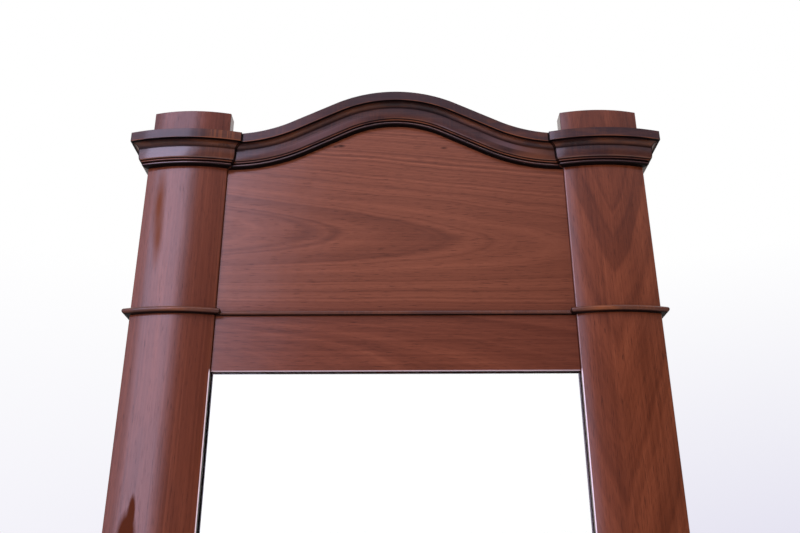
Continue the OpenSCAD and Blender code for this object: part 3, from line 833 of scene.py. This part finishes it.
# On the base moulding the quirks and the foot of the torus are darker
BASE_STATE = [
    (0, 70, 0, 40), (30, 100, 50, 40), (60, 70, 0, 40), (80, 30, 0, 10), (120, 90, 20, 50),
    (500, 100, 20, 50), (550, 20, 0, 0), (570, 90, 60, 30), (610, 90, 50, 30), (635, 10, 0, 0),
    (670, 90, 20, 90), (800, 100, 30, 90), (920, 80, 0, 40), (1000, 20, 0, 0),
]
# The orange-brown of wood rubbed through, which the states also lay on as painted light, and a pale
# plum laid on the arch's swell as painted sheen
RUBBED_AND_LIT, PAINTED_SHEEN = (0.21, 0.060, 0.018), (0.120, 0.060, 0.062)
CROSS_STREAK = (0.27, 0.078, 0.026)
EBONISED = [  # the moulding's tone, from its dark to its light streaks
    (0.34, (0.012, 0.0050, 0.0058)), (0.50, (0.027, 0.0110, 0.0120)),
    (0.60, (0.048, 0.0170, 0.0150)), (0.76, (0.100, 0.0290, 0.0150)),
]


def dark_wood(
    name, turn, state, lean=(0.7071, 0.7071, 0), patches=0.4, cross=0.15, even=0.2, face=FRONT,
    wear_and_painted_light=(),
):
    """Moulding wood: nearly black, with orange-brown where the polish is thin or rubbed through and
    where its state paints light, fine cross streaks, dirt in its mitres, and dirt with painted
    shade in its quirks and under its swell and bead. Wear and painted light are spots of another
    colour, some real wear and dirt, some painted sheen and painted shade: x and z, half sizes along
    both, strength, share of cross streaks, colour, and the part of the section that they keep to,
    as its middle and half its height."""
    material, tree = new_material(name)
    place, board = grain_place(tree, turn), own_place(tree)
    grain = use_group(tree, GRAIN, {"Vector": place})
    cross_grain = use_group(tree, GRAIN, {"Vector": rotated(tree, place, (0, math.pi / 2, 0))})
    tone = weighed(tree, (grain["Bands"], 0.5), (grain["Streaks"], 0.5))
    section = add_node(tree, "ShaderNodeAttribute", attribute_name="section").outputs["Fac"]
    bare, rubbed, shine = (
        ramp(tree, section, [(row[0] / 1000, (row[i] / 100,) * 3) for row in state])
        for i in (1, 2, 3)
    )
    thin = noise(tree, place, (16, 55, 55), 4, 0.6)
    # The rubbed column turns the wood orange-brown: wear, and painted light on the hollow's top and
    # on a bead's face
    rubbed = times(tree, rubbed, spread(tree, thin, 0.40, 0.58, even))
    thin = times(tree, spread(tree, thin, 0.52, 0.64), patches)
    colour = mixed(tree, maths(tree, "MAXIMUM", thin, rubbed), ramp(tree, tone, EBONISED), RUBBED_AND_LIT)
    where = times(tree, spread(tree, noise(tree, place, (9, 9, 9), 2, 0.5), 0.48, 0.62), cross)
    for x, z, half_x, half_z, strength, crossed, tone, middle, half in wear_and_painted_light:
        mask = spot(tree, board, (x, face, z), half_x, half_z, strength)
        off = distance(tree, section, middle)
        mask = times(tree, mask, spread(tree, off, half, half - 0.02))
        colour = mixed(tree, mask, colour, tone)
        where = maths(tree, "MAXIMUM", where, times(tree, mask, crossed))
    lines = times(tree, spread(tree, cross_grain["Streaks"], 0.48, 0.60), where)
    colour = mixed(tree, lines, colour, CROSS_STREAK)
    dirt = use_group(tree, MITRES, {"Vector": board, "Lean": lean})["Dirt"]
    # The clean column and the mitres' dirt darken towards near black: dirt, and painted shade in
    # the quirks and on the undersides
    bare = times(tree, bare, rest_of(tree, dirt))
    colour = mixed(tree, bare, DIRT_AND_SHADE, colour)
    polished(tree, colour, grain["Height"], 0.00025, 0.14, times(tree, bare, shine), film=1.7)
    return material


CAP_LEAN = tuple(Vector((CAP_REACH, CAP_SIDE, 0)).normalized())
BROWN_FACE = (0.085, 0.030, 0.028)
across_wood = dark_wood(
    "dark moulding wood", ALONG_X, CAP_STATE, CAP_LEAN, patches=0.2, cross=0.08,
    wear_and_painted_light=(
        (-0.248, SPRING, 0.058, 0.060, 0.55, 1.8, RUBBED_AND_LIT, 0.15, 0.16),
        (-0.250, SPRING, 0.068, 0.090, 0.45, 0.6, RUBBED_AND_LIT, 0.58, 0.25),
        (0.310, SPRING, 0.090, 0.060, 0.80, 0.0, (0.050, 0.018, 0.018), 0.15, 0.16),
        (0.303, SPRING, 0.032, 0.060, 0.85, 0.0, (0.012, 0.006, 0.007), 0.14, 0.13),
        (-0.315, SPRING, 0.080, 0.060, 0.65, 0.0, BROWN_FACE, 0.15, 0.16),
        # Dark spots in the hollows under the fascia: dirt and painted shade
        (-0.330, SPRING, 0.030, 0.090, 0.75, 0.0, DIRT_AND_SHADE, 0.37, 0.05),
        (-0.247, SPRING, 0.016, 0.090, 0.75, 0.0, DIRT_AND_SHADE, 0.39, 0.05),
        (0.262, SPRING, 0.024, 0.090, 0.85, 0.0, DIRT_AND_SHADE, 0.37, 0.05),
        (0.318, SPRING, 0.044, 0.090, 0.25, 0.0, RUBBED_AND_LIT, 0.39, 0.07),
    ),
)
side_state = [row for row in CAP_STATE if row[0] < 950] + [(975, 100, 10, 100)]
side_wood = dark_wood("dark moulding wood on the sides", ALONG_Y, side_state, CAP_LEAN)
capital = moulding_set("cap", cap_section, CAP_REACH, CAP_SIDE, CAP_BOW, SPRING)
finish_set("cap", capital, (across_wood, side_wood), SPRING, CAP_H)

# ----------------------------------------
# Arch. The capitals' section runs on between them: level, up through a hollow bend and a straight
# slope, over the crown and down again. It is glued up from three lengths, planed as one.
reach_x = OPEN + ARCH_WASTE
arch = draw(
    "arch_moulding", [(-reach_x, FRIEZE_Y - CAP_REACH * u, SPRING + h) for u, h in cap_section]
)
pull((reach_x - HALF_SPAN, 0, 0))
bend(ARCH_SLOPE, (-HALF_SPAN, 0, SPRING + ARC_R), (0, -1, 0), ARC_STEPS)
pull(Vector((RUN, 0, CLIMB)) * SLOPE_L)
bend(2 * ARCH_SLOPE, (0, 0, CROWN - ARC_R), (0, 1, 0), 2 * ARC_STEPS)
pull(Vector((RUN, 0, -CLIMB)) * SLOPE_L)
bend(ARCH_SLOPE, (HALF_SPAN, 0, SPRING + ARC_R), (0, -1, 0), ARC_STEPS)
pull((reach_x - HALF_SPAN, 0, 0))
ease(sweep_done(arch), SOFTENED)
fit_between(arch, CAP_REACH, CAP_SIDE)


def down_the_arch(point):
    """How far below the arch's back a point lies, square to its line."""
    x, z = abs(point.x), point.z
    if x >= HALF_SPAN:
        return SPRING - z
    foot = Vector((HALF_SPAN, SPRING + ARC_R))
    out = Vector((x, z)) - foot
    if math.atan2(-out.x, -out.y) < ARCH_SLOPE:
        return out.length - ARC_R
    crown = Vector((x, z - (CROWN - ARC_R)))
    if math.atan2(crown.x, crown.y) < ARCH_SLOPE:
        return ARC_R - crown.length
    down = Vector((-CLIMB, -RUN))
    return (out - ARC_R * down).dot(down)


ARCH_SWELL = [(490, 95, 8, 45), (640, 100, 12, 75), (790, 100, 25, 100)]
ARCH_STATE = sorted([row for row in CAP_STATE if not 480 < row[0] < 800] + ARCH_SWELL)
arch_wood = dark_wood(
    "arch wood", ALONG_X, ARCH_STATE, CAP_LEAN, patches=0.2, cross=0.08, face=FRIEZE_Y,
    wear_and_painted_light=(
        # Painted sheen on the swell of both slopes
        (-0.115, 2.005, 0.120, 0.070, 0.90, 0.0, PAINTED_SHEEN, 0.74, 0.11),
        (-0.115, 2.005, 0.120, 0.070, 0.50, 0.0, PAINTED_SHEEN, 0.62, 0.05),
        (0.170, 2.000, 0.050, 0.060, 0.75, 0.0, PAINTED_SHEEN, 0.57, 0.09),
        (-0.140, 2.030, 0.090, 0.060, 0.65, 0.0, BROWN_FACE, 0.15, 0.16),
        # Dark spots in the hollow under the fascia: dirt and painted shade
        (0.060, 2.050, 0.040, 0.060, 0.80, 0.0, DIRT_AND_SHADE, 0.40, 0.09),
        (0.000, 2.060, 0.070, 0.070, 0.80, 0.0, DIRT_AND_SHADE, 0.36, 0.05),
        (0.205, 1.990, 0.040, 0.050, 0.45, 0.0, RUBBED_AND_LIT, 0.62, 0.20),
        (0.000, 2.080, 0.120, 0.060, 0.60, 0.0, (0.024, 0.016, 0.022), 0.15, 0.16),
    ),
)
finish_moulding(
    arch, arch_wood, ["arch_crown", "left_arch_foot", "right_arch_foot"],
    lambda point: point.z + down_the_arch(point), CAP_H,
)

# ----------------------------------------
# Astragals and frieze bead. A half-round bead is bent across each column and returned along its
# sides; a thinner straight one covers the joint of frieze and rail and is scribed to them.
astragal_low, astragal_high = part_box("right_astragal_front")
ASTRAGAL_H = astragal_high.z - astragal_low.z
ASTRAGAL_REACH, ASTRAGAL_BOW = 0.0088, 0.0094


def half_round(height, reach):
    """The section of a half-round bead."""
    return [(0, height)] + nose(1, height, height, reach) + [(0, 0)]


BEAD_Z = astragal_low.z
DULL = (0.050, 0.018, 0.014)
bead_wood = dark_wood(
    "bead wood", ALONG_X, BEAD_STATE, patches=0.7, even=0.42,
    wear_and_painted_light=(
        (-0.352, BEAD_Z, 0.038, 0.050, 0.75, 0.0, DULL, 0.70, 0.45),
        (-0.238, BEAD_Z, 0.022, 0.050, 0.80, 0.0, DULL, 0.50, 0.60),
        (0.244, BEAD_Z, 0.030, 0.050, 0.75, 0.0, DULL, 0.50, 0.60),
        (0.366, BEAD_Z, 0.028, 0.050, 0.80, 0.0, DULL, 0.50, 0.60),
    ),
)
bead_side_wood = dark_wood(
    "bead wood on the sides", ALONG_Y, BEAD_STATE, patches=0.2, even=0.0
)
astragal = moulding_set(
    "astragal", half_round(ASTRAGAL_H, ASTRAGAL_REACH), ASTRAGAL_REACH, ASTRAGAL_REACH,
    ASTRAGAL_BOW, BEAD_Z, mitred_back=False,
)
bead_low, bead_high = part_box("frieze_bead")
BEAD_REACH = FRIEZE_Y - bead_low.y
FRIEZE_BEAD_H = bead_high.z - bead_low.z
SCRIBE_PLAY = 0.0002  # the strip stops this short of the columns' edges
HAIR = 0.00002  # keeps the strip's faces out of the planes of the pieces that it is scribed to
bead_half = OPEN - SCRIBE_PLAY
bead = draw("frieze_bead_strip", [
    (-bead_half, FRIEZE_Y - HAIR - (BEAD_REACH - HAIR) * u, bead_low.z + HAIR + h)
    for u, h in half_round(FRIEZE_BEAD_H, BEAD_REACH)
])
pull((2 * bead_half, 0, 0))
ease(sweep_done(bead), SOFTENED)
for form in (astragal[0], astragal[2]):
    take_out(bead, other_side(form, "scribe"))
    take_out(bead, form, keep=True)
strip_wood = dark_wood(
    "frieze bead wood", ALONG_X, BEAD_STATE, patches=0.3, even=0.2, face=FRIEZE_Y,
    wear_and_painted_light=((0, BEAD_Z, 1.20, 0.050, 0.75, 0.0, (0.075, 0.026, 0.018), 0.50, 0.60),),
)
finish_moulding(bead, strip_wood, ["frieze_bead"], lambda point: bead_high.z, FRIEZE_BEAD_H)
finish_set("astragal", astragal, (bead_wood, bead_side_wood), astragal_high.z, ASTRAGAL_H)

# ----------------------------------------
# Base. Solid plinths under the columns, a base moulding of round, hollow and two fillets mitred
# round them and across under the lower rail, and an apron board between the plinths.
plinth_low, plinth_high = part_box("right_plinth")
PLINTH_SIDE = (plinth_high.x - plinth_low.x - COLUMN_W) / 2
BASE_BOW, BASE_REACH = 0.010, 0.012
TORUS_H, BASE_FILLET_H, BASE_HOLLOW_H = 0.014, 0.003, 0.018
BASE_H = TORUS_H + 2 * BASE_FILLET_H + BASE_HOLLOW_H
LOWER_U, UPPER_U = 0.6, 0.15  # the hollow's two ends, as shares of the reach
half = COLUMN_W / 2 + PLINTH_SIDE
behind = (half**2 + BASE_BOW**2) / (2 * BASE_BOW) - PLINTH_SIDE - BASE_BOW
plinth = bowed_block(
    "plinth_right", half, FRONT + behind, math.hypot(half, behind + PLINTH_SIDE),
    plinth_high.y, 0, plinth_high.z,
)
board_pair(plinth, "plinth_left", "plinth", BLOCK_WOODS, edge=0.0012)

hollow_top = BASE_H - BASE_FILLET_H
base_section = [(0, BASE_H), (UPPER_U, BASE_H)]
base_section += [
    (LOWER_U - (LOWER_U - UPPER_U) * math.cos(a), hollow_top - BASE_HOLLOW_H * math.sin(a))
    for a in quarter
]
base_section += [(LOWER_U, TORUS_H)] + nose(1, TORUS_H, TORUS_H, BASE_REACH) + [(0, 0)]
BASE_TOP = FOOT + BASE_H
base_wood = dark_wood("base moulding wood", ALONG_X, BASE_STATE)
base_side_wood = dark_wood("base moulding wood on the sides", ALONG_Y, BASE_STATE)
base_set = moulding_set("base", base_section, BASE_REACH, BASE_REACH, BASE_BOW, FOOT)
finish_set("base", base_set, (base_wood, base_side_wood), BASE_TOP, BASE_H)
base = draw(
    "base_moulding_run", [(-OPEN, FRIEZE_Y - BASE_REACH * u, FOOT + h) for u, h in base_section]
)
pull((2 * OPEN, 0, 0))
ease(sweep_done(base), SOFTENED)
fit_between(base, BASE_REACH, BASE_REACH)
finish_moulding(base, base_wood, ["base_moulding"], lambda point: BASE_TOP, BASE_H)
apron = squared("apron_board", *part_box("apron"))
finish(apron, rail_wood, ["apron"], edge=0.0010, steps=3)

# ----------------------------------------
# Mirror. One tall plate of clear glass, silvered on its back. The silver lies behind the glass's
# own thickness, so the frame's edge shows twice beside it.
SILVER_T = 0.00015
SILVER_MARGIN = 0.0005  # bare glass left round the silver
glass_material, tree = new_material("mirror glass")
dust = noise(tree, own_place(tree), (4, 4, 4), 3, 0.6)
surfaced(tree, {
    "Base Color": (0.995, 1.0, 0.998, 1), "Transmission Weight": 1.0, "IOR": 1.52,
    "Roughness": spread(tree, dust, 0.4, 0.8, 0.0, 0.012),
})
silver_material, tree = new_material("silvering")
silver = ramp(tree, noise(tree, own_place(tree), (3, 3, 3), 4, 0.6), [
    (0.3, (0.985, 0.988, 0.988)), (0.7, (0.995, 0.998, 1.0)),
])
surfaced(tree, {"Base Color": silver, "Metallic": 1.0, "Roughness": 0.0})
pane = squared("glass_plate", glass_low, (glass_high.x, glass_high.y - SILVER_T, glass_high.z))
finish(pane, glass_material, ["mirror_glass"], edge=0.0003)
film = squared(
    "silver_film",
    (glass_low.x + SILVER_MARGIN, glass_high.y - SILVER_T, glass_low.z + SILVER_MARGIN),
    (glass_high.x - SILVER_MARGIN, glass_high.y, glass_high.z - SILVER_MARGIN),
)
finish(film, silver_material, ["mirror_glass"], edge=0)

# ----------------------------------------
# Carcass. Unpolished pine behind the show wood: two stiles and two crossrails, tenoned and
# pegged, three back planks, glue blocks and dowels.


def placed(name, data):
    """A new object in the scene."""
    thing = bpy.data.objects.new(name, data)
    bpy.context.scene.collection.objects.link(thing)
    return thing


def dressed_copy(node, name, material, edge):
    """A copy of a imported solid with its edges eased, for flat work that keeps its sawn shape."""
    copy = placed(name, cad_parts[node].data.copy())
    copy.data.name = name
    edit_all(copy)
    bpy.ops.mesh.remove_doubles(threshold=ROUGH_WELD)
    bpy.ops.mesh.customdata_custom_splitnormals_clear()
    bpy.ops.mesh.dissolve_limited(angle_limit=math.radians(0.5))
    edit_done()
    return finish(copy, material, [node], edge=edge)


def raw_pine(name, turn):
    """Pine left bare behind the show wood, browned by age, with a few knots."""
    material, tree = new_material(name)
    place = grain_place(tree, turn)
    grain = use_group(tree, GRAIN, {"Vector": place})
    tone = weighed(tree, (grain["Bands"], 0.6), (grain["Streaks"], 0.4))
    colour = ramp(tree, tone, [
        (0.30, (0.28, 0.155, 0.070)), (0.50, (0.46, 0.290, 0.150)), (0.72, (0.60, 0.410, 0.235)),
    ])
    age = spread(tree, noise(tree, place, (2.2, 3.5, 3.5), 5, 0.65), 0.35, 0.75, 0.0, 0.55)
    colour = mixed(tree, age, colour, (0.27, 0.17, 0.095))
    cell = add_node(tree, "ShaderNodeTexVoronoi", {
        "Vector": vector_maths(tree, "MULTIPLY", place, (1.9, 5.0, 5.0)), "Scale": 1.0,
        "Randomness": 1.0,
    })
    knot = spread(tree, cell.outputs["Distance"], 0.085, 0.045)
    colour = mixed(tree, times(tree, knot, 0.85), colour, (0.11, 0.048, 0.022))
    surfaced(tree, {
        "Base Color": colour, "Specular IOR Level": 0.25,
        "Normal": bumped(tree, grain["Streaks"], 0.0003, 0.7),
        "Roughness": spread(tree, grain["Streaks"], 0.3, 0.7, 0.72, 0.88),
    })
    return material


upright_pine = raw_pine("pine upright", ALONG_Z)
level_pine = raw_pine("pine level", ALONG_X)
deep_pine = raw_pine("pine from front to back", ALONG_Y)
for side in ("left", "right"):
    dressed_copy(side + "_stile", "stile_" + side, upright_pine, 0.0008)
    dressed_copy(side + "_back_plank", "back_plank_" + side, upright_pine, 0.0008)
dressed_copy("middle_back_plank", "back_plank_middle", upright_pine, 0.0008)
for level in ("upper", "lower"):
    dressed_copy(level + "_crossrail", "crossrail_" + level, level_pine, 0.0008)
dressed_copy("apron_glue_blocks", "glue_blocks", upright_pine, 0.0006)
for node, material in {
    "frame_pegs": deep_pine, "plinth_dowels": upright_pine, "glass_blocks": upright_pine,
}.items():
    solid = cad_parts[node]
    solid.data.materials.clear()
    solid.data.materials.append(material)

# ----------------------------------------
# Iron. Slotted countersunk screws hold the planks, and two plates with a hole for the wall's
# screw are let onto the stiles' tops. Both are forged iron gone brown.
iron, tree = new_material("browned iron")
place = own_place(tree)
cloud = noise(tree, place, (60, 60, 60), 5, 0.65)
rust = spread(tree, cloud, 0.48, 0.68)
surfaced(tree, {
    "Base Color": mixed(tree, rust, (0.060, 0.055, 0.052), (0.105, 0.048, 0.024)),
    "Metallic": spread(tree, rust, 0, 1, 0.9, 0.25),
    "Roughness": spread(tree, cloud, 0.3, 0.7, 0.42, 0.75),
    "Normal": bumped(tree, noise(tree, place, (500, 500, 500), 3, 0.6), 0.0001, 0.7),
})
for side in ("left", "right"):
    dressed_copy(side + "_hanging_plate", "wall_plate_" + side, iron, 0.0003)

SCREW_HEAD, SCREW_SHANK, SCREW_L = 0.007, 0.0035, 0.020
RIM = 0.0004  # the head's thin edge, half of it over the screw's origin
SLOT_W, SLOT_DEPTH = 0.0009, 0.0011
SUNK = 0.0003  # how far a screw's origin lies inside the back face
SCREW_TURN = 2.4  # radians from one screw's slot to the next one's
deselect()
bpy.ops.mesh.primitive_cylinder_add(
    vertices=32, radius=SCREW_HEAD / 2, depth=RIM, location=(0, 0, 0)
)
screw = settle(named("screw"))
bpy.ops.object.mode_set(mode="EDIT")
bpy.context.tool_settings.mesh_select_mode = (False, False, True)
bpy.ops.mesh.select_all(action="DESELECT")
edit_done()
for polygon in screw.data.polygons:
    polygon.select = polygon.normal.z < -0.9
bpy.ops.object.mode_set(mode="EDIT")
pull((0, 0, -(SCREW_HEAD - SCREW_SHANK) / 2))
bpy.ops.transform.resize(value=(SCREW_SHANK / SCREW_HEAD, SCREW_SHANK / SCREW_HEAD, 1))
pull((0, 0, -SCREW_L + SCREW_HEAD / 2))
bpy.ops.transform.resize(value=(0.25, 0.25, 1))
sweep_done(screw)
take_out(screw, squared(
    "slot", (-SCREW_HEAD, -SLOT_W / 2, RIM / 2 - SLOT_DEPTH), (SCREW_HEAD, SLOT_W / 2, 0.002)
))


def screw_places(node):
    """The middles of a node's separate solids, each with its back face's depth."""
    copy = placed("loose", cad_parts[node].data.copy())
    edit_all(copy)
    bpy.ops.mesh.remove_doubles(threshold=ROUGH_WELD)
    bpy.ops.mesh.separate(type="LOOSE")
    edit_done()
    places = []
    for part in list(bpy.context.selected_objects):
        corners = [Vector(c) for c in part.bound_box]
        middle = sum(corners, Vector()) / 8
        places.append((middle.x, max(c.y for c in corners), middle.z))
        bpy.data.objects.remove(part)
    return sorted(places, key=lambda p: (round(p[2], 4), p[0]))


def screw_set(node, name):
    """A node's screws, each turned its own way, as one piece. Their heads face backwards."""
    backwards = Matrix.Rotation(-math.pi / 2, 4, "X")
    copies = []
    for i, (x, y, z) in enumerate(screw_places(node)):
        copy = placed(name, screw.data.copy())
        place = Matrix.Translation((x, y - SUNK, z))
        copy.data.transform(place @ backwards @ Matrix.Rotation(SCREW_TURN * i, 4, "Z"))
        copies.append(copy)
    only(copies[0])
    for copy in copies[1:]:
        copy.select_set(True)
    bpy.ops.object.join()
    finish(named(name), iron, [node], edge=0.00008, steps=1)


screw_set("plank_screws", "back_screws")
screw_set("plate_screws", "wall_plate_screws")
bpy.data.objects.remove(screw)

# ----------------------------------------
# Room. A pale floor, a white room all round, two tall lamps like a window and its glow in front on
# the left, and soft lamps from above and from the right.
deselect()
bpy.ops.mesh.primitive_plane_add(size=16, location=(0, 0, 0))
floor = named("floor")
floor_material, tree = new_material("pale floor")
shade = ramp(tree, noise(tree, own_place(tree), (1.5, 1.5, 1.5), 3, 0.5), [
    (0.3, (0.78, 0.775, 0.79)), (0.7, (0.83, 0.825, 0.835)),
])
surfaced(tree, {"Base Color": shade, "Roughness": 0.7})
floor.data.materials.append(floor_material)

world = bpy.data.worlds.new("room")
bpy.context.scene.world = world
world.use_nodes = True
tree = world.node_tree
tree.nodes.clear()
way = add_node(tree, "ShaderNodeTexCoord").outputs["Generated"]
split = add_node(tree, "ShaderNodeSeparateXYZ", {0: way}).outputs
low_down = spread(tree, split["Z"], 0.38, 0.08)
to_right = spread(tree, split["X"], -0.4, 0.4)
dusk = mixed(tree, to_right, (0.90, 0.89, 0.95), (0.79, 0.775, 0.88))
seen = mixed(tree, low_down, (1.0, 1.0, 1.0), dusk)
to_right = spread(tree, split["X"], -0.55, 0.25)
low_room = mixed(tree, to_right, (0.30, 0.24, 0.31), (0.07, 0.055, 0.06))
high_up = spread(tree, split["Z"], 0.28, 0.66)
mirrored = mixed(tree, high_up, low_room, (0.90, 0.82, 1.0))
mirrored = mixed(tree, spread(tree, split["Y"], -0.40, 0.10), mirrored, (1.0, 1.0, 1.0))
paths = add_node(tree, "ShaderNodeLightPath").outputs
colour = mixed(tree, paths["Is Glossy Ray"], (0.52, 0.525, 0.465), mirrored)
colour = mixed(tree, paths["Is Transmission Ray"], colour, (1.08, 1.08, 1.08))
colour = mixed(tree, paths["Is Camera Ray"], colour, seen)
background = add_node(tree, "ShaderNodeBackground", {"Color": colour, "Strength": 1.0})
add_node(tree, "ShaderNodeOutputWorld", {"Surface": background.outputs[0]})


def lamp(name, at, aim, width, height, radiance, colour):
    """A soft rectangular lamp of an even brightness."""
    data = bpy.data.lights.new(name, "AREA")
    data.shape, data.size, data.size_y = "RECTANGLE", width, height
    data.energy = radiance * math.pi * width * height
    data.color = colour
    light = placed(name, data)
    light.location = at
    light.rotation_euler = (Vector(aim) - Vector(at)).to_track_quat("-Z", "Y").to_euler()
    light.visible_camera = light.visible_transmission = False


lamp("window", (-2.25, -3.70, 3.10), (-0.3, 0, 1.8), 2.1, 4.4, 3.6, (0.72, 0.68, 1.0))
lamp("window_glow", (-2.58, -3.60, 3.00), (-0.3, 0, 1.8), 3.9, 4.8, 1.55, (0.76, 0.70, 1.0))
lamp("overhead", (0.2, -3.0, 5.0), (0, 0, 1.9), 3.4, 0.6, 3.4, (0.92, 0.88, 1.0))
lamp("side", (3.9, -1.2, 2.0), (0.3, 0, 1.5), 1.2, 2.4, 1.6, (1.0, 0.95, 0.90))

# ----------------------------------------
# Camera, where the photograph was taken from: a little over a metre in front of the mirror, below
# its middle, looking up at its head.
camera_data = bpy.data.cameras.new("camera")
camera_data.sensor_width, camera_data.lens = 36.0, 38.13
camera = placed("camera", camera_data)
PITCH, YAW, ROLL = math.radians(22.837), math.radians(0.023), math.radians(-0.18)
turned = (
    Matrix.Rotation(-YAW, 4, "Z") @ Matrix.Rotation(math.pi / 2 + PITCH, 4, "X")
    @ Matrix.Rotation(ROLL, 4, "Z")
)
camera.matrix_world = Matrix.Translation((0.00565, -1.0896, 1.35065)) @ turned
bpy.context.scene.camera = camera
bpy.context.scene.view_settings.view_transform = "Standard"
